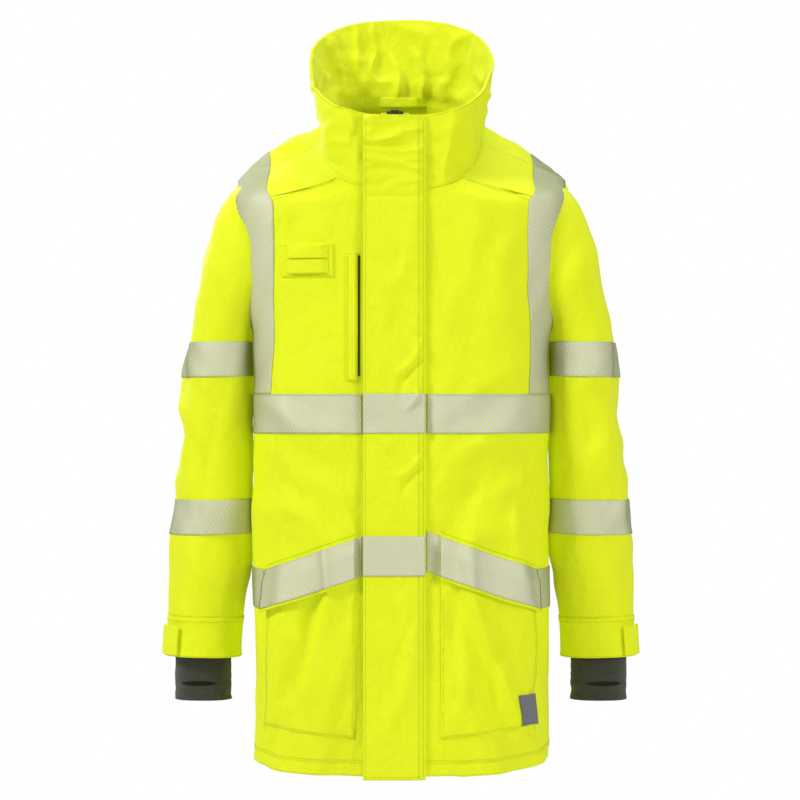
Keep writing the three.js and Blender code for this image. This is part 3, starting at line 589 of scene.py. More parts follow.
# glow is an emission on cloth that is no lamp: painted light that lifts the shade in the folds
cloth = {
    "shell_cloth": {"colour": (227, 239, 8), "weave": 0.55, "weaveDepth": 0.00006, "creases": 0.0014,
                    "glow": 0.12, "rough": 0.6, "sheen": 0.04, "vary": 0.06},
    "collar_lining_cloth": {"colour": (227, 239, 8), "weave": 0.8, "weaveDepth": 0.00008, "creases": 0.0015,
                            "glow": 0.08, "rough": 0.75, "sheen": 0.2, "vary": 0.12},
    "lining_cloth": {"colour": (176, 180, 176), "weave": 0.9, "weaveDepth": 0.00008, "creases": 0.0008,
                     "glow": 0.0, "rough": 0.6, "sheen": 0.15, "vary": 0.1},
    "stretch_cuff_cloth": {"colour": (74, 76, 62), "weave": 1.5, "weaveDepth": 0.0003, "creases": 0.0008,
                           "glow": 0.0, "rough": 0.85, "sheen": 0.25, "vary": 0.22},
    "zip_tape_cloth": {"colour": (218, 232, 12), "weave": 0.9, "weaveDepth": 0.00012, "creases": 0.0002,
                       "glow": 0.05, "rough": 0.8, "sheen": 0.1, "vary": 0.1},
    # painted shade: a dark cloth for the strip in the chest pocket slit, standing in for the shadow there
    "zip_tape_dark": {"colour": (58, 58, 52), "weave": 0.9, "weaveDepth": 0.00012, "creases": 0.0002,
                      "glow": 0.0, "rough": 0.8, "sheen": 0.1, "vary": 0.15},
    "label_cloth": {"colour": (120, 124, 126), "weave": 0.5, "weaveDepth": 0.00005, "creases": 0.0004,
                    "glow": 0.0, "rough": 0.55, "sheen": 0.05, "vary": 0.2},
    "size_label_cloth": {"colour": (225, 226, 222), "weave": 0.4, "weaveDepth": 0.00005, "creases": 0.0004,
                         "glow": 0.0, "rough": 0.5, "sheen": 0.05, "vary": 0.08},
    "hook_and_loop": {"colour": (200, 222, 20), "weave": 1.6, "weaveDepth": 0.0006, "creases": 0.0003,
                      "glow": 0.05, "rough": 0.95, "sheen": 0.4, "vary": 0.25},
}


def clothMaterial(name, look):
    shader = Shader(name)
    across, along = shader.uv()
    turns = 2 * math.pi / (look["weave"] / 1000)
    warp = shader.math("SINE", shader.math("MULTIPLY", across, turns))
    weft = shader.math("SINE", shader.math("MULTIPLY", along, turns))
    weave = shader.math("MULTIPLY", warp, weft)
    creases = shader.noise(28, 5, 0.62, (1, 1, 0.7))
    fine = shader.noise(160, 2, 0.5)
    bump = shader.bump(creases, look["creases"] * 4)
    bump = shader.bump(fine, look["creases"] * 0.35, after=bump)
    bump = shader.bump(weave, look["weaveDepth"], after=bump)
    colour = linear(*look["colour"])
    dark = tuple(c * (1 - look["vary"] * 1.6) for c in colour[:3]) + (1,)
    light = tuple(min(1, c * (1 + look["vary"] * 0.6)) for c in colour[:3]) + (1,)
    patchy = shader.math("MULTIPLY_ADD", shader.noise(6, 4, 0.6), 0.5, 0.25)
    grain = shader.math("MULTIPLY_ADD", weave, 0.10, patchy, clamp=True)
    mixed = shader.mix(grain, dark, light)
    rough = shader.math("MULTIPLY_ADD", creases, 0.25, look["rough"] - 0.12)
    shader.set(Base_Color=mixed, Roughness=rough, Normal=bump, Sheen_Weight=look["sheen"],
               Sheen_Roughness=0.4, Specular_IOR_Level=0.28)
    # painted light: the cloth glows in its own colour, lightening its shade
    if look["glow"]:
        shader.set(Emission_Color=mixed, Emission_Strength=look["glow"])
    return shader.material


film = {
    "pitch": 5.3,
    "slope": 0.62,
    "gap": 0.20,
    "silver": (205, 204, 198),
    "shade": (168, 172, 140),
    "ground": (222, 234, 40),
    "grazingShadeSilver": (104, 108, 84),  # painted shade: the tape's silver towards grazing view angles
    "grazingShadeGround": (170, 186, 40),
}


def tapeMaterial(name):
    shader = Shader(name)
    across, along = shader.uv()
    lean = shader.math("MULTIPLY", shader.math("ABSOLUTE", along), film["slope"])
    count = shader.math("DIVIDE", shader.math("ADD", across, lean), film["pitch"] / 1000)
    part = shader.math("FRACT", count)
    gap = shader.math("LESS_THAN", part, film["gap"])
    # every segment is cut again by a finer line, as on heat-sealed film
    fine = shader.math("LESS_THAN", shader.math("FRACT", shader.math("MULTIPLY", count, 4.0)), 0.14)
    cut = shader.math("MAXIMUM", gap, shader.math("MULTIPLY", fine, 0.30))
    creases = shader.noise(30, 4, 0.6)
    bump = shader.bump(creases, 0.0016)
    bump = shader.bump(shader.math("SUBTRACT", 1.0, gap), 0.00012, after=bump)
    tone = shader.noise(18, 4, 0.6)
    bright = linear(*film["silver"])
    silver = shader.mix(tone, linear(*film["shade"]), bright)
    silver = shader.mix(shader.math("MULTIPLY_ADD", tone, 0.5, 0.62, clamp=True), silver, bright)
    colour = shader.mix(cut, silver, linear(*film["ground"]))
    # painted shade: the tape's colour is darkened by view angle where its surface turns away from the camera
    facing = shader.node("ShaderNodeLayerWeight")
    facing.inputs["Blend"].default_value = 0.42
    edge = shader.math("POWER", facing.outputs["Facing"], 1.3)
    grazingShade = shader.mix(cut, linear(*film["grazingShadeSilver"]), linear(*film["grazingShadeGround"]))
    colour = shader.mix(shader.math("MULTIPLY", edge, 0.95, clamp=True), colour, grazingShade)
    rough = shader.math("MULTIPLY_ADD", gap, 0.15, 0.62)
    metal = shader.math("MULTIPLY_ADD", gap, -0.08, 0.08)
    shader.set(Base_Color=colour, Roughness=rough, Metallic=metal, Normal=bump, Specular_IOR_Level=0.3)
    return shader.material


def plasticMaterial(name, colour, rough):
    shader = Shader(name)
    grain = shader.noise(900, 2, 0.5)
    wear = shader.noise(90, 4, 0.6)
    tint = linear(*colour)
    dark, pale = (tuple(min(1, c * factor) for c in tint[:3]) + (1,) for factor in (0.75, 1.5))
    mixed = shader.mix(wear, dark, pale)
    shader.set(Base_Color=mixed, Roughness=shader.math("MULTIPLY_ADD", wear, 0.25, rough - 0.1),
               Normal=shader.bump(grain, 0.00005))
    return shader.material


def threadMaterial(name, colour):
    shader = Shader(name)
    twist = shader.noise(2500, 2, 0.5)
    tint = linear(*colour)
    mixed = shader.mix(twist, tuple(c * 0.8 for c in tint[:3]) + (1,), tint)
    # painted light: the thread glows faintly in its own colour
    shader.set(Base_Color=mixed, Roughness=0.6, Normal=shader.bump(twist, 0.0001), Emission_Color=mixed,
               Emission_Strength=0.03)
    return shader.material


for name, look in cloth.items():
    materials[name] = clothMaterial(name, look)
materials["reflective_tape"] = tapeMaterial("reflective_tape")
materials["zip_plastic"] = plasticMaterial("zip_plastic", (46, 46, 42), 0.42)
materials["shell_cloth:thread"] = threadMaterial("thread", (196, 214, 12))
print("materials made")


sides = ((1, "left"), (-1, "right"))
seam = {"back": 737.5, "yokeLap": 2.2, "liningEdge": 20.0}
tapes = {"width": 50, "chest": 427.5, "backWaist": 205}  # lower edges
collar = {"crumple": 4.2, "inset": 1.7}


def rowCount(length, cell):
    return max(3, int(round(length / cell)) + 1)


def rowsBetween(low, high, length, cell):
    return low + (high - low) * np.linspace(0, 1, rowCount(length, cell))[:, None]


def panelRows(turnAt, share, low, high, length, cell):
    lowZ, highZ = heightAt(low, turnAt(low, share)), heightAt(high, turnAt(high, share))
    z = rowsBetween(lowZ, highZ, length, cell)
    at = solve(lambda a: heightAt(a, turnAt(a, share)) - z, z.shape, 0, rimRing)
    return np.clip(at, low, high)


def frontTurns(side, inner):
    innerX = zipX + side * inner
    far = 2 * math.pi if side > 0 else math.pi
    spread = evenTurns(frontTurn(innerX, 4.0), far, 60)
    spread = (spread - spread[0]) / (spread[-1] - spread[0])

    def turnAt(at, share):
        near = turnAtX(innerX, at)
        return near + (far - near) * np.interp(share, np.linspace(0, 1, 60), spread)

    return turnAt


def overYoke(at, turn):
    point = coatPoint(at, turn)
    return point[..., 2] - (yokeLine(point[..., 0]) - 0.2)


def inSleeve(at, turn, edge=-0.22):
    point = coatPoint(at, turn)
    middle = (point[1:, 1:] + point[:-1, :-1]) / 2
    near = (np.abs(middle[..., 0]) > 150) & (middle[..., 2] > 560)
    return near & (armDepth(middle) < edge) & (coatDepth(middle) > -0.4)


def bodySheet(name, at, turn, layer, slot="shell_cloth"):
    coatSheet(name, at, turn, layers[layer], slot, keep=~inSleeve(at, turn))


def bodyPieces():
    cell = ruled["cell"]
    for side, label in sides:
        turnAt = frontTurns(side, openingHalf)
        share = np.linspace(0, 1, rowCount(300, cell))
        end = solve(lambda at: overYoke(at, turnAt(at, share)), share.shape, 0, neckRing - 0.02)
        at = panelRows(turnAt, share, 0 * share, end, 735, cell)
        bodySheet(f"front_panel_{label}", at, turnAt(at, share), "shell")
        start = solve(lambda at: overYoke(at, turnAt(at, share)) + seam["yokeLap"], share.shape, 0, rimRing)
        first = int(np.argmax(start < neckRing - 0.012))
        at = rowsBetween(start[first:], neckRing, 150, cell)
        bodySheet(f"shoulder_yoke_{label}", at, turnAt(at, share[first:]), "yoke")
    turns = evenTurns(0, math.pi, rowCount(500, cell))
    at = atHeight(rowsBetween(heightAt(0.0, turns), seam["back"] + 0.1, 730, cell), turns)
    bodySheet("back_panel", at, turns, "shell")
    at = rowsBetween(atHeight(seam["back"] - 0.1, turns), neckRing, 170, cell)
    bodySheet("back_yoke", at, turns, "yoke")


def liningPieces():
    cell, hemRing = ruled["liningCell"], 0.08
    for side, label in sides:
        turnAt = frontTurns(side, seam["liningEdge"])
        share = np.linspace(0, 1, rowCount(290, cell))
        at = panelRows(turnAt, share, 0 * share + hemRing, 0 * share + neckRing, 780, cell)
        bodySheet(f"lining_front_{label}", at, turnAt(at, share), "lining", "lining_cloth")
    turns = evenTurns(0, math.pi, rowCount(480, cell))
    at = atHeight(rowsBetween(heightAt(hemRing, turns), heightAt(float(neckRing), turns), 830, cell), turns)
    bodySheet("lining_back", at, turns, "lining", "lining_cloth")


def collarSheet(name, gap, low, top, layer, slot, liftAt):
    cell = 3.0
    start, end = frontTurn(zipX + gap, 9.0) - 2 * math.pi, frontTurn(zipX - gap, 9.0)
    turns = evenTurns(start, end, rowCount(680, cell))
    at = rowsBetween(low, top, 125, cell) + 0 * turns
    coatSheet(name, at, turns, layers[layer], slot, lift=liftAt(at, coatPoint(at, turns)))


def collarPieces():
    def outerLift(at, place):
        return 0.9 * smooth(neckRing + 0.05, neckRing, at)

    def innerLift(at, place):
        x, y, z = place[..., 0], place[..., 1], place[..., 2]
        crumple = ridge(noise(place, (34, 34, 52), 61), 0.22) + 0.8 * np.abs(noise(place, (52, 40, 60), 62))
        within = smooth(neckRing, 8.3, at) * smooth(rimRing, 9.55, at) * smooth(-40, 20, y)
        lift = -collar["crumple"] * crumple * within
        return lift - placed(x, z, insideFolds) * smooth(0, 30, y) - collar["inset"] * smooth(8.15, 7.95, at)

    collarSheet("collar_outer", openingHalf, neckRing - 0.03, rimRing, "shell", "shell_cloth", outerLift)
    collarSheet("collar_lining", seam["liningEdge"], neckRing - 0.62, rimRing - 0.012, "collarLining",
                "collar_lining_cloth", innerLift)


def bandPiece(name, start, end, low, length):
    cell = ruled["tapeCell"]
    turns = evenTurns(start, end, rowCount(length, cell))
    heights = rowsBetween(low, low + tapes["width"], tapes["width"], cell)
    coatSheet(name, atHeight(heights, turns), turns, layers["tape"], "reflective_tape")


def bracePiece(side, label):
    cell = ruled["tapeCell"]
    columns = rowCount(tapes["width"], cell)
    share = np.linspace(0, 1, columns)
    half = np.linspace(0, 1, 500)[:, None]

    def halfWidth(at):
        return ringValue(coatFine, "halfWidth", at)

    def reach(at):
        inner = np.interp(at, [3, 5.4, 6.1, 6.6], [164, 161, 162, 171])
        outer = np.minimum(np.interp(at, [3, 6, 7], [209, 211, 214]), 0.984 * halfWidth(at))
        outer = np.where(at > 6.0, 213, outer)
        return inner + (outer - inner) * share

    def quarter(at):
        within = np.clip(reach(at) / halfWidth(at), 0, 1)
        return np.arccos(within ** (ringValue(coatFine, "square", at) / 2))

    ridgeAt = solve(lambda at: reach(at) - halfWidth(at), (1, columns), 6.02, 8)
    halves = []
    for sign in (-1, 1):  # up the front, then down the back
        lowest = solve(lambda at: heightAt(at, sign * quarter(at)) - 478, (1, columns), 2, 5)
        at = ridgeAt - (ridgeAt - lowest) * (1 - half) ** 2.5
        halves.append((at, sign * quarter(at)))
    at, turn = (np.concatenate([front, back[::-1]]) for front, back in zip(*halves))
    length = runLength(coatPoint(at, turn))
    rows = rowCount(length.max(), cell)
    even = np.empty((2, rows, columns))
    for column in range(columns):
        target = np.linspace(0, length[-1, column], rows)
        for table, values in zip(even, (at, turn)):
            table[:, column] = np.interp(target, length[:, column], values[:, column])
    at, turn = even[0], even[1] if side > 0 else math.pi - even[1]
    coatSheet(f"brace_tape_{label}", at, turn, layers["tape"], "reflective_tape",
              keep=~inSleeve(at, turn, -0.12), lengthwise=True)


def bodyTapes():
    for side, label in sides:
        near = frontTurn(flapSewn + 1 if side > 0 else flapFree - 1, 2.9)
        far = 2 * math.pi if side > 0 else math.pi
        bandPiece(f"chest_tape_{label}", min(near, far), max(near, far), tapes["chest"], 250)
        bracePiece(side, label)
    for label, edges in (("left", (32, 53)), ("right", (-61, -48.5))):  # beside the storm flap
        x, z = boxGrid((*edges, 0, tapes["width"]), 1.8)
        frontPiece(f"waist_tape_{label}", x, z + bandBottom(x), "tape", "reflective_tape", node=False)
    bandPiece("chest_tape_back", 0, math.pi, tapes["chest"], 500)
    front = frontTurn(176, 1.5)
    bandPiece("waist_tape_back", front - 2 * math.pi, 3 * math.pi - front, tapes["backWaist"], 640)


# pieces laid on the fronts are set out by x and height
def frontPiece(name, x, z, layer, slot="shell_cloth", body="coat_body", lift=0, node=True):
    coatSheet(name, *onFront(x, z), layers[layer], slot, body, lift, node=node)


def gridOn(xLow, xHigh, lowLine, highLine, cell):
    x = np.linspace(xLow, xHigh, rowCount(abs(xHigh - xLow) * 1.12, cell))
    low, high = lowLine(x), highLine(x)
    z = rowsBetween(low, high, float(np.max(high - low)), cell)
    return x + 0 * z, z


def boxGrid(box, cell):
    left, right, low, high = box
    return gridOn(left, right, lambda x: low + 0 * x, lambda x: high + 0 * x, cell)


def bandBottom(x):
    return 249 - 0.3607 * (np.abs(x) - 50)


pocket = {
    "outerEdge": 172,
    "innerEdge": {"left": 50, "right": -58},
    "bottom": 47,
    "bottomRise": 12,  # from the inner corner to the outer one
    "flapLift": 6.5,
}


def pocketBottom(x, inner):
    share = (np.abs(x) - abs(inner)) / (pocket["outerEdge"] - abs(inner))
    return pocket["bottom"] + pocket["bottomRise"] * share


def pocketFlapLift(x, z, side):
    down = np.clip((bandBottom(x) + tapes["width"] - z) / 54, 0, 1)
    wave = 0.6 + 0.5 * noise(np.stack([x, z, 0 * x], -1), (46, 80, 10), 31 + side)
    return 4.2 * smooth(0.02, 0.35, down) + pocket["flapLift"] * down ** 1.6 * wave


def pocketPieces():
    for side, label in sides:
        inner, outer, body = pocket["innerEdge"][label], side * pocket["outerEdge"], f"pocket_flap_{label}"
        x, z = gridOn(inner, outer, lambda v: pocketBottom(v, inner), lambda v: bandBottom(v) + 18, 3.0)
        low = pocketBottom(x, inner)
        height = (z - low) / (bandBottom(x) + 18 - low)
        across = (x - inner) / (outer - inner) * 122
        edge = np.minimum(np.minimum(across, 122 - across), z - low)
        flat = np.stack([x, z, 0 * x], -1)
        lift = smooth(0, 26, edge) * (1.2 + 1.6 * height)
        lift += 1.3 * ridge(noise(flat, (26, 160, 10), 21 + side), 0.25) * smooth(0, 12, edge)
        lift += np.abs(noise(flat, (9, 16, 10), 25 + side) * smooth(16, 4, across) * 1.3) + 0.3
        frontPiece(f"pocket_patch_{label}", x, z, "pocketPatch", lift=lift * 0.8)
        x, z = gridOn(inner, outer, lambda v: bandBottom(v) - 4, lambda v: bandBottom(v) + 53, 2.8)
        frontPiece(f"pocket_flap_{label}", x, z, "pocketFlap", body=body, lift=pocketFlapLift(x, z, side))
        x, z = gridOn(inner, outer, bandBottom, lambda v: bandBottom(v) + tapes["width"], ruled["tapeCell"])
        frontPiece(f"pocket_flap_tape_{label}", x, z, "pocketFlapTape", "reflective_tape", body,
                   pocketFlapLift(x, z, side))


chest = {  # each box is its left and right x, then its low and high edge
    "welt": (-69, -54.6, 494, 656),
    "facing": (-54.2, -51.6, 500, 652),
    "bag": (-149, -61, 474, 636),
    "radioPatch": (-150, -85, 625, 667.5),
    "sideLabel": (148, 171, 60, 98),
    "loopEdges": (-144, -91),
    "loopHeight": 17,
    "loopLows": {"lower": 629.5, "upper": 648.5},
    "loopStand": 3.4,
}


def chestPieces():
    left, right, _, _ = chest["welt"]
    x, z = boxGrid(chest["welt"], 1.8)
    frontPiece("chest_pocket_welt", x, z, "welt", lift=1.2 * smooth(0, 5, np.minimum(x - left, right - x)))
    # the facing in the pocket slit gets the dark cloth: painted shade
    frontPiece("chest_pocket_facing", *boxGrid(chest["facing"], 0.9), "facing", "zip_tape_dark")
    frontPiece("chest_pocket_bag", *boxGrid(chest["bag"], 6), "bag", "lining_cloth")
    left, right, low, high = chest["radioPatch"]
    x, z = boxGrid(chest["radioPatch"], 1.8)
    edge = np.minimum(np.minimum(x - left, right - x), np.minimum(z - low, high - z))
    frontPiece("radio_patch", x, z, "patch", lift=0.7 * smooth(0, 3, edge))
    left, right = chest["loopEdges"]
    for name, low in chest["loopLows"].items():
        x, z = boxGrid((left, right, low, low + chest["loopHeight"]), 1.5)
        raised = smooth(0, 1, np.clip(np.minimum(x - left, right - x) / 9, 0, 1))
        lift = (chest["loopStand"] + 1.3 * (z - low) / chest["loopHeight"]) * raised
        frontPiece(f"radio_loop_{name}", x, z, "loop", lift=lift)
    frontPiece("side_label", *boxGrid(chest["sideLabel"], 1.8), "sideLabel", "label_cloth")


# storm flap, zip and their strips lie on the flat front
flap = {"low": -4, "high": 829, "foldDepth": 2.4, "sewnOuter": 2.4, "sewnInner": 0.5}
flapFolds = [
    ((26, 545), (-6, 500), 5, 1.6),
    ((26, 520), (-2, 470), 5, -1.6),
    ((26, 500), (4, 455), 4, 1.5),
    ((25, 400), (-4, 372), 6, 1.6),
    ((25, 385), (2, 350), 5, -1.5),
    ((-40, 430), (-12, 400), 7, 1.4),
    ((-44, 640), (-20, 560), 9, 1.4),
    ((10, 690), (-10, 610), 10, 1.2),
    ((0, 230), (-14, 60), 11, 2.0),
    ((16, 200), (8, 40), 6, -1.6),
]


def facePoint(x, z, out):
    return np.stack([x, faceY(z), z], -1) + np.asarray(out)[..., None] * faceOut


def flapFold(x, z):
    flat = np.stack([x, z, 0 * x], -1)
    free = np.clip((flapSewn - x) / (flapSewn - flapFree), 0, 1)
    wave = 2.6 * noise(flat, (90, 85, 10), 41) * free + 0.8 * free ** 2 * (1 + noise(flat, (60, 38, 10), 42))
    near = np.exp(-((flapSewn - 12 - x) / 14) ** 2)
    wave += 1.3 * noise(flat + np.stack([0 * x, 0.6 * x, 0 * x], -1), (30, 13, 10), 46) * near
    neck = smooth(728, 752, z)
    rolls = 3.0 * noise(flat, (52, 15, 10), 43) + 3.0 * ridge(noise(flat, (70, 20, 10), 44), 0.24)
    crease = -1.8 * np.exp(-((z - 728 - 2 * noise(flat, (20, 50, 10), 45)) / 4.5) ** 2)
    stitched = -0.8 * np.exp(-((x - 24) / 1.6) ** 2)
    wave += flap["foldDepth"] * placed(x, z, flapFolds)
    return np.maximum(wave + 1.4 * neck * rolls * smooth(0, 0.12, free) + crease + stitched + 1.5, -1.6)


def flapOut(x, z, out, sewnOut):
    sewn = smooth(26.5, 30.5, x)  # the sewn edge is pressed down on the panel
    return (out + flapFold(x, z)) * (1 - sewn) + sewn * sewnOut


def faceSheet(name, box, layer, slot, body, cell=2.6):
    left, right, low, high = box
    x = np.linspace(left, right, rowCount(right - left, cell)) + np.zeros((rowCount(high - low, cell), 1))
    z = rowsBetween(low, high, high - low, cell) + 0 * x
    outs = list(layers[layer])
    if name == "storm_flap":
        outs = [flapOut(x, z, out, sewn) for out, sewn in zip(outs, (flap["sewnOuter"], flap["sewnInner"]))]
    elif body == "storm_flap":
        outs = [out + flapFold(x, z) for out in outs]
    front, behind = (facePoint(x, z, out + 0 * x) for out in outs)
    uv = np.stack([x - (left + right) / 2, z - (low + high) / 2], -1) / 1000
    obj = shell(name, front, behind, uv)
    dress(obj, body, slot, name)
    declareSheet(uv, front)


def boxSolids(name, boxes, slot, body, *nodes):
    points, faces = [], []
    order = [(0, 1, 3, 2), (4, 6, 7, 5), (0, 4, 5, 1), (2, 3, 7, 6), (0, 2, 6, 4), (1, 5, 7, 3)]
    for number, (x0, x1, out0, out1, z0, z1) in enumerate(boxes):
        points += [facePoint(x, z, out) for x in (x0, x1) for out in (out0, out1) for z in (z0, z1)]
        faces += [[number * 8 + corner for corner in quad] for quad in order]
    uvs = np.tile(np.array([(0, 0), (0.001, 0), (0.001, 0.001), (0, 0.001)]), (len(faces), 1, 1))
    obj = makeMesh(name, np.array(points, float), np.array(faces), uvs, np.ones(len(faces), bool))
    dress(obj, body, slot, *nodes)


zipper = {"pitch": 2.6, "tooth": 1.7, "low": 30, "high": 830.5, "tooth reach": (1.08, 4.6),
          "stop reach": (5.9, 10.4), "tape reach": (4.3, 18)}


def zipPieces():
    for side, label in sides:
        def reach(key):
            return sorted(zipX + side * away for away in zipper[key])

        faceSheet(f"zip_tape_{label}", (*reach("tape reach"), 19.9, 832.9), "zipTape", "zip_tape_cloth",
                  "coat_body", 3)
        start = zipper["low"] + (0 if side > 0 else zipper["pitch"] / 2)
        teeth = [(*reach("tooth reach"), -3.4, -1.2, z, z + zipper["tooth"])
                 for z in np.arange(start, zipper["high"], zipper["pitch"])]
        teeth.append((*reach("stop reach"), -3.8, 0.2, 829.5, 834.6))
        boxSolids(f"zip_chain_{label}", teeth, "zip_plastic", "coat_body", f"zip_chain_{label}")


def flapPieces():
    faceSheet("storm_flap", (flapFree, flapSewn, flap["low"], flap["high"]), "stormFlap", "shell_cloth",
              "storm_flap")
    for name, low in (("flap_chest_tape", 427.8), ("flap_waist_tape", 249.3)):
        faceSheet(name, (flapFree, flapSewn - 0.5, low, low + tapes["width"]), "flapTape", "reflective_tape",
                  "storm_flap")
    strip = (-43.5, -27.5, 40, 804)
    faceSheet("flap_hook_strip", strip, "hookStrip", "hook_and_loop", "storm_flap")
    faceSheet("panel_loop_strip", strip, "loopStrip", "hook_and_loop", "coat_body")


# sleeves and cuffs are made for the left and mirrored for the right
bend = {"start": (197, 0, 562), "way": (0.78, 0, -0.626), "length": 175}
armTapes = {"sleeve_upper_tape": (501, 499), "sleeve_lower_tape": (298, 296)}  # inner and outer lower edge
sleeve = {"cell": 3.3, "hemRing": 1.004, "intoBody": 0.10}
cuffTab = {"start": 286, "centre": 257, "half": 48.5, "patch": (289, 302.3)}


def mirrored(points, side):
    return points * np.array([side, 1, 1])


def bendSleeve(obj, side, label):
    start = np.array(bend["start"], float)
    end = start + unit(np.array(bend["way"])) * bend["length"]
    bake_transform(obj, "coat_body", f"sleeve_{label}", start=tuple(toFrame(mirrored(start, side))),
             end=tuple(toFrame(mirrored(end, side))))


def armSheet(name, side, label, at, turn, layer, slot, body=None, lift=0, wrap=False, surface=armPoint,
             fold=armFold, keep=None):
    base = surface(at, turn)
    normal = normalAt(surface, at, turn)
    stand = fold(base, side) + lift
    front, behind = (mirrored(base + normal * (out + stand)[..., None], side) for out in layers[layer])
    uv = measured(mirrored(base, side))
    obj = shell(f"{name}_{label}", front, behind, uv, keep, wrap)
    dress(obj, body, slot, f"{name}_{label}")
    if body is None:
        bendSleeve(obj, side, label)
    declareSheet(uv, base)


def armTurns(at, columns, start=0.0, end=2 * math.pi):
    return evenly(armPoint, at, start, end, columns)


def armAtHeight(z, turn):
    return solve(lambda at: armPoint(at, turn)[..., 2] - z, np.broadcast(z, turn).shape, 0, 6.5)


def tabTurn(x):
    return 2 * math.pi - math.acos(((x - cuffTab["centre"]) / cuffTab["half"]) ** (armSquare / 2))


cuffRings = {"z": [81, 137, 181, 224], "centre": [257.5, 257.5, 256.5, 252.0], "half": [36, 36.5, 40, 46.5],
             "depth": [28, 28, 33, 41.5]}
thumbSlit = {"from": 238.5, "to": 284.5, "z": 103, "open": 3.4}


def stretchPoint(at, turn):
    at, turn = np.broadcast_arrays(at, turn)
    z = at * 10.0
    centre, half, depth = (
        np.interp(z, cuffRings["z"], cuffRings[key]) for key in ("centre", "half", "depth"))
    x = centre + powered(np.cos(turn), armSquare) * half
    return np.stack([x, powered(np.sin(turn), armSquare) * depth, z], -1)


def armPieces(side, label):
    forearm, tapeCell, tabCell = f"sleeve_{label}", ruled["tapeCell"], 1.7
    turns = armTurns(3.0, rowCount(330, sleeve["cell"]))
    cut = solve(lambda at: -coatDepth(armPoint(at, turns)), turns.shape, 3.2, 8)
    cut = np.minimum(cut + sleeve["intoBody"], 7.9)
    rows = np.linspace(0, 1, rowCount(540, sleeve["cell"]))[:, None] ** 0.94
    at = sleeve["hemRing"] + (cut - sleeve["hemRing"]) * rows
    armSheet("sleeve", side, label, at, turns, "shell", "shell_cloth", wrap=True)
    for name, (innerLow, outerLow) in armTapes.items():
        bottom = innerLow + (outerLow - innerLow) * (np.cos(turns) + 1) / 2
        at = armAtHeight(rowsBetween(bottom, bottom + 45, 45, tapeCell), turns)
        armSheet(name, side, label, at, turns, "armTape", "reflective_tape", wrap=True)
    at = rowsBetween(0, 1.012, 51, tapeCell) + 0 * turns
    hem = 0.9 * smooth(0.30, 0.0, at) + 0.9 * smooth(0.85, 1.0, at)
    armSheet("cuff", side, label, at, turns, "cuff", "shell_cloth", forearm, lift=hem, wrap=True)
    turns = armTurns(0.5, rowCount(64, tabCell), tabTurn(cuffTab["start"]), 2 * math.pi - 0.004)
    at = rowsBetween(0.08, 0.83, 38, tabCell) + 0 * turns
    along = np.linspace(0, 1, len(turns))
    lift = 1.0 + 1.6 * smooth(0.5, 0.0, along) + 1.2 * smooth(1.0, 0.7, along) * along
    lift = lift * (1 - smooth(0.86, 0.99, along))
    armSheet("cuff_tab", side, label, at, turns, "cuffTab", "shell_cloth", f"cuff_tab_{label}", lift=lift)
    turns = armTurns(0.5, rowCount(20, tabCell), *(tabTurn(x) for x in cuffTab["patch"]))
    at = rowsBetween(0.2, 0.72, 26, tabCell) + 0 * turns
    armSheet("cuff_loop_patch", side, label, at, turns, "cuffLoop", "hook_and_loop", forearm)
    stretchCuff(side, label, forearm)


def stretchCuff(side, label, forearm):
    turns = evenly(stretchPoint, 10.0, 0, 2 * math.pi, 150)
    low, high, slitZ = 81, 223, thumbSlit["z"]
    middle = (thumbSlit["from"] + thumbSlit["to"]) / 2
    half = (thumbSlit["to"] - thumbSlit["from"]) / 2
    share = np.clip(1 - ((stretchPoint(10.0, turns)[:, 0] - middle) / half) ** 2, 0, 1)
    front = turns > math.pi
    opening = np.where(front, thumbSlit["open"] * share ** 0.6, 0) + 0.06
    below, above = np.linspace(0, 1, 14)[:, None], np.linspace(0, 1, 62)[:, None]
    z = np.concatenate([low + (slitZ - opening - low) * below,
                        slitZ + opening + (high - slitZ - opening) * above])
    keep = np.ones((len(z) - 1, len(turns) - 1), bool)
    keep[13] = np.maximum(opening[1:], opening[:-1]) <= 0.07  # the row that the slit opens
    place = stretchPoint(z / 10, turns)
    lift = noise(mirrored(place, side), (60, 60, 9), 51) * smooth(137, 110, z)
    lift = (lift + 0.78 * noise(place, (18, 18, 24), 53)) * smooth(215, 150, z)
    lift += 0.22 * np.sin(turns * 60) + 0.5 * smooth(86, 82, z)  # ribs and hem
    lift += 0.8 * np.exp(-((np.abs(z - slitZ) - opening) / 2.2) ** 2) * (share * front > 0)
    armSheet("inner_cuff", side, label, z / 10, turns, "innerCuff", "stretch_cuff_cloth", forearm, lift=lift,
             wrap=True, surface=stretchPoint, fold=lambda base, side: 0, keep=keep)


loop = {"halfLength": 34, "halfWidth": 6.6, "height": 868, "depth": 78.4, "bow": 5.4, "halfThick": 0.7}


def neckPieces():
    share = np.linspace(-1, 1, 60)
    wide = np.linspace(-1, 1, 9)[:, None]
    z = loop["height"] + loop["halfWidth"] * wide - 1.2 * (1 - share ** 2)
    y = loop["depth"] - loop["bow"] * smooth(0.98, 0.55, np.abs(share))
    base = np.stack([loop["halfLength"] * share + 0 * z, y + 0 * z, z], -1)
    thick = np.array([0, loop["halfThick"], 0]) * (1 - 0.35 * wide[..., None] ** 4)
    uv = measured(base)
    obj = shell("hanger_loop", base - thick, base + thick, uv)
    dress(obj, "coat_body", "shell_cloth", "hanger_loop")
    declareSheet(uv, base)
    spread = turnAtX(np.linspace(14, -14, 16), 7.02, False)
    at = atHeight(819 + 22 * np.linspace(0, 1, 12)[:, None], spread)
    coatSheet("size_label", at, spread, layers["sizeLabel"], "size_label_cloth")


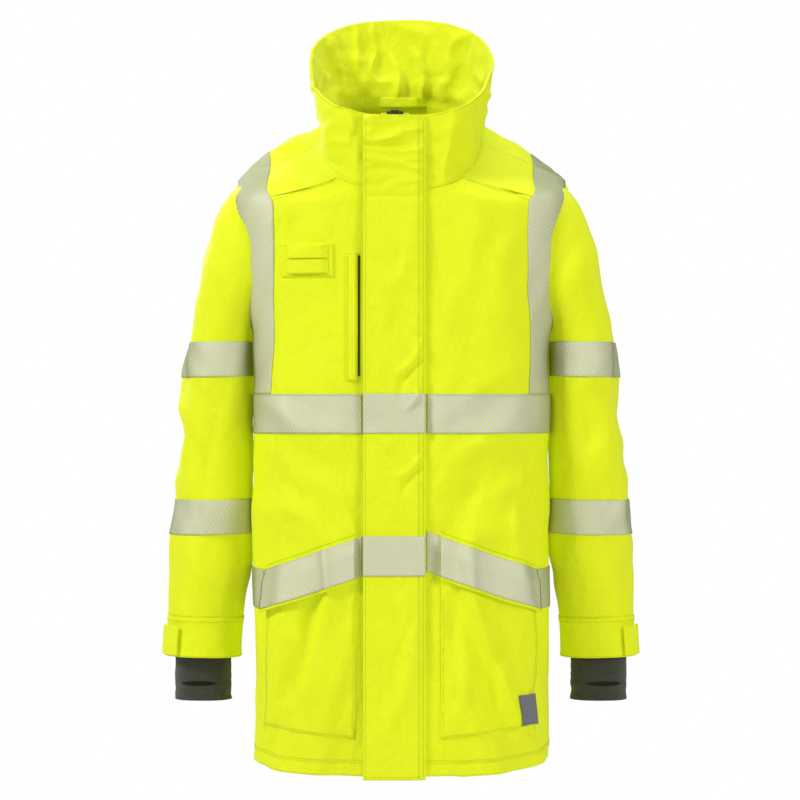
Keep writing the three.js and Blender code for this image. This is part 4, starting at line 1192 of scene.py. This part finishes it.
# stitches are one short thread after another along every seam
stitch = {"length": 2.6, "every": 3.7, "radius": 0.30}
seams = {}


def addSeam(points, body):
    length = runLength(points)
    targets = (np.arange(int(length[-1] / stitch["every"])) + 0.5) * stitch["every"]

    def pointsAt(run):
        return np.stack([np.interp(run, length, points[:, k]) for k in range(3)], -1)

    ways = unit(pointsAt(targets + 0.5) - pointsAt(targets - 0.5))
    seams.setdefault(body, []).append((pointsAt(targets), ways))


def seamOnCoat(at, turn, stand):
    base = coatPoint(at, turn)
    addSeam(base + normalAt(coatPoint, at, turn) * (coatFold(base) + stand)[..., None], "coat_body")


def seamOnFront(x, z, stand):
    seamOnCoat(*onFront(x, z), stand)


def coatSeams():
    for side, label in sides:
        x = np.linspace(84, 206, 160) * side
        for gap in (-3.4, 3.0):
            seamOnFront(x, yokeLine(x) + gap, 0.25)
        inner, outer = pocket["innerEdge"][label], side * pocket["outerEdge"]
        x = np.linspace(inner, outer, 120)
        seamOnFront(x, pocketBottom(x, inner) + 3, 1.9)
        for edge in (inner + side * 3, outer - side * 3):
            seamOnFront(edge, np.linspace(52, 225, 160), 1.9)
        seamOnFront(x, bandBottom(x) + 55.5, 0.3)
    turns = evenTurns(-math.pi, math.pi, 900)
    for height in (16.5, 19.5):  # hem
        seamOnCoat(atHeight(heightAt(0.0, turns) + height, turns), turns, 0.25)
    for height in (429, 476):  # chest tapes
        for start, end in ((frontTurn(33, 2.9), 2 * math.pi), (math.pi, frontTurn(-50, 2.9)), (0.0, math.pi)):
            spread = evenTurns(start, end, 400)
            seamOnCoat(atHeight(height, spread), spread, 1.75)
    turns = evenTurns(-0.42 * math.pi, 1.42 * math.pi, 700)
    for ring in (rimRing - 0.07, neckRing + 0.05):  # collar
        seamOnCoat(np.full(turns.shape, ring), turns, 0.3)
    for z in (496, 654):
        seamOnFront(np.linspace(-68, -55, 20), z, 3.3)
    for x in (-67.4, -56.6):
        seamOnFront(x, np.linspace(497, 653, 120), 3.0)
    for z in (627, 665.5):
        seamOnFront(np.linspace(-148, -87, 60), z, 2.3)


def flapSeams():
    z = np.linspace(0, 826, 500)
    for x in (28.0, 22.0, -44.5):
        x = np.full(z.shape, x)
        addSeam(facePoint(x, z, flapOut(x, z, 5.8, flap["sewnOuter"]) + 0.1), "storm_flap")
    x = np.linspace(-45, 27, 60)
    for height in (0.0, 728.0):
        z = np.full(x.shape, height)
        addSeam(facePoint(x, z, 5.9 + flapFold(x, z)), "storm_flap")


def armSeams(side, label):
    turns = armTurns(1.0, 400)
    for ring, stand in ((0.06, 1.45), (0.93, 1.05)):
        at = np.full(turns.shape, ring)
        base = armPoint(at, turns)
        out = armFold(base, side) + stand
        addSeam(mirrored(base + normalAt(armPoint, at, turns) * out[:, None], side), f"sleeve_{label}")


def stitchTree():
    tree = bpy.data.node_groups.new("stitches", "GeometryNodeTree")
    tree.interface.new_socket("Geometry", in_out="INPUT", socket_type="NodeSocketGeometry")
    sockets = {}
    for name in ("Stitch length", "Thread radius"):
        socket = tree.interface.new_socket(name, in_out="INPUT", socket_type="NodeSocketFloat")
        sockets[name] = socket.identifier
    tree.interface.new_socket("Geometry", in_out="OUTPUT", socket_type="NodeSocketGeometry")
    start, end = tree.nodes.new("NodeGroupInput"), tree.nodes.new("NodeGroupOutput")
    thread = tree.nodes.new("GeometryNodeMeshCylinder")
    thread.inputs["Vertices"].default_value = 6
    tree.links.new(start.outputs["Stitch length"], thread.inputs["Depth"])
    tree.links.new(start.outputs["Thread radius"], thread.inputs["Radius"])
    way = tree.nodes.new("GeometryNodeInputNamedAttribute")
    way.data_type = "FLOAT_VECTOR"
    way.inputs["Name"].default_value = "way"
    turned = tree.nodes.new("FunctionNodeAlignRotationToVector")
    turned.axis = "Z"
    tree.links.new(way.outputs["Attribute"], turned.inputs["Vector"])
    placed = tree.nodes.new("GeometryNodeInstanceOnPoints")
    tree.links.new(start.outputs["Geometry"], placed.inputs["Points"])
    tree.links.new(thread.outputs["Mesh"], placed.inputs["Instance"])
    tree.links.new(turned.outputs["Rotation"], placed.inputs["Rotation"])
    real = tree.nodes.new("GeometryNodeRealizeInstances")
    tree.links.new(placed.outputs["Instances"], real.inputs["Geometry"])
    painted = tree.nodes.new("GeometryNodeSetMaterial")
    painted.inputs["Material"].default_value = materials["shell_cloth:thread"]
    tree.links.new(real.outputs["Geometry"], painted.inputs["Geometry"])
    tree.links.new(painted.outputs["Geometry"], end.inputs["Geometry"])
    return tree, sockets


def stitchPieces():
    tree, sockets = stitchTree()
    for body, lines in seams.items():
        place = toFrame(np.concatenate([line[0] for line in lines]))
        ways = np.concatenate([line[1] for line in lines])
        mesh = bpy.data.meshes.new(f"{body}_stitches")
        mesh.vertices.add(len(place))
        mesh.vertices.foreach_set("co", place.ravel())
        mesh.attributes.new("way", "FLOAT_VECTOR", "POINT").data.foreach_set("vector", ways.ravel())
        source = bpy.data.objects.new(f"{body}_points", mesh)
        scene.collection.objects.link(source)
        modifier = source.modifiers.new("stitches", "NODES")
        modifier.node_group = tree
        modifier[sockets["Stitch length"]] = stitch["length"] / 1000
        modifier[sockets["Thread radius"]] = stitch["radius"] / 1000
        shown = source.evaluated_get(bpy.context.evaluated_depsgraph_get())
        done = bpy.data.meshes.new_from_object(shown)
        bpy.data.objects.remove(source)
        for attribute in [a.name for a in done.attributes if a.name == "way"]:
            done.attributes.remove(done.attributes[attribute])
        obj = bpy.data.objects.new(f"{body}_stitches", done)
        scene.collection.objects.link(obj)
        done.polygons.foreach_set("use_smooth", np.ones(len(done.polygons), bool))
        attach(obj, body)


def hardParts():
    for name in ("zip_box", "zip_slider", "zip_pull"):
        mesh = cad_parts[name].data
        for index in range(len(mesh.materials)):
            mesh.materials[index] = materials["zip_plastic"]


bodyPieces()
print("body panels made")
liningPieces()
collarPieces()
bodyTapes()
print("tapes made")
pocketPieces()
chestPieces()
zipPieces()
flapPieces()
print("pockets, zip and flap made")
for side, label in sides:
    armPieces(side, label)
    armSeams(side, label)
neckPieces()
hardParts()
print("sleeves made")
coatSeams()
flapSeams()
stitchPieces()
print("stitches made")


light = {
    "surround": 0.36,  # what the cloth gets from all round
    "backdrop": 1.0,
    "lamps": [
        ("key", (-2.5, -1.7, 1.5), 0.8, 78),
        ("fill", (2.4, -2.2, 0.1), 1.2, 38),
        ("top", (0.3, 0.1, 2.1), 1.2, 28),
        ("behind", (-1.2, 2.6, 0.8), 1.8, 42),
    ],
}
view = {"lens": 111.6, "sensor": 36, "place": (-0.00125, -3.3086, -0.3945), "lookAt": (0, 0, -0.4)}
floorSize = {"reach": 2.6, "level": -1.6}


def studio():
    world = bpy.data.worlds.new("studio")
    scene.world = world
    world.use_nodes = True
    tree = world.node_tree
    background = tree.nodes["Background"]
    background.inputs["Color"].default_value = (1, 1, 1, 1)
    seen = tree.nodes.new("ShaderNodeLightPath").outputs["Is Camera Ray"]
    strength = tree.nodes.new("ShaderNodeMapRange")
    strength.inputs["To Min"].default_value = light["surround"]
    strength.inputs["To Max"].default_value = light["backdrop"]
    tree.links.new(seen, strength.inputs["Value"])
    tree.links.new(strength.outputs["Result"], background.inputs["Strength"])
    for name, place, size, power in light["lamps"]:
        lamp = bpy.data.lights.new(name, "AREA")
        lamp.energy = power
        lamp.size = size
        obj = bpy.data.objects.new(name, lamp)
        obj.location = place
        obj.rotation_euler = (Vector(view["lookAt"]) - Vector(place)).to_track_quat("-Z", "Y").to_euler()
        scene.collection.objects.link(obj)
    mesh = bpy.data.meshes.new("floor")
    reach, level = floorSize["reach"], floorSize["level"]
    corners = [(-reach, -reach, level), (reach, -reach, level), (reach, reach, level), (-reach, reach, level)]
    mesh.from_pydata(corners, [], [(0, 1, 2, 3)])
    floor = bpy.data.objects.new("floor", mesh)
    scene.collection.objects.link(floor)
    shader = Shader("floor")
    tone = shader.noise(3, 3, 0.5)
    shader.set(Base_Color=shader.mix(tone, (0.84, 0.84, 0.83, 1), (0.87, 0.87, 0.86, 1)), Roughness=0.8)
    mesh.materials.append(shader.material)
    camera = bpy.data.objects.new("camera", bpy.data.cameras.new("camera"))
    camera.data.lens = view["lens"]
    camera.data.sensor_width = view["sensor"]
    camera.location = view["place"]
    camera.rotation_euler = (math.pi / 2, 0, 0)
    scene.collection.objects.link(camera)
    scene.camera = camera
    scene.view_settings.view_transform = "Standard"


studio()
print("studio set")
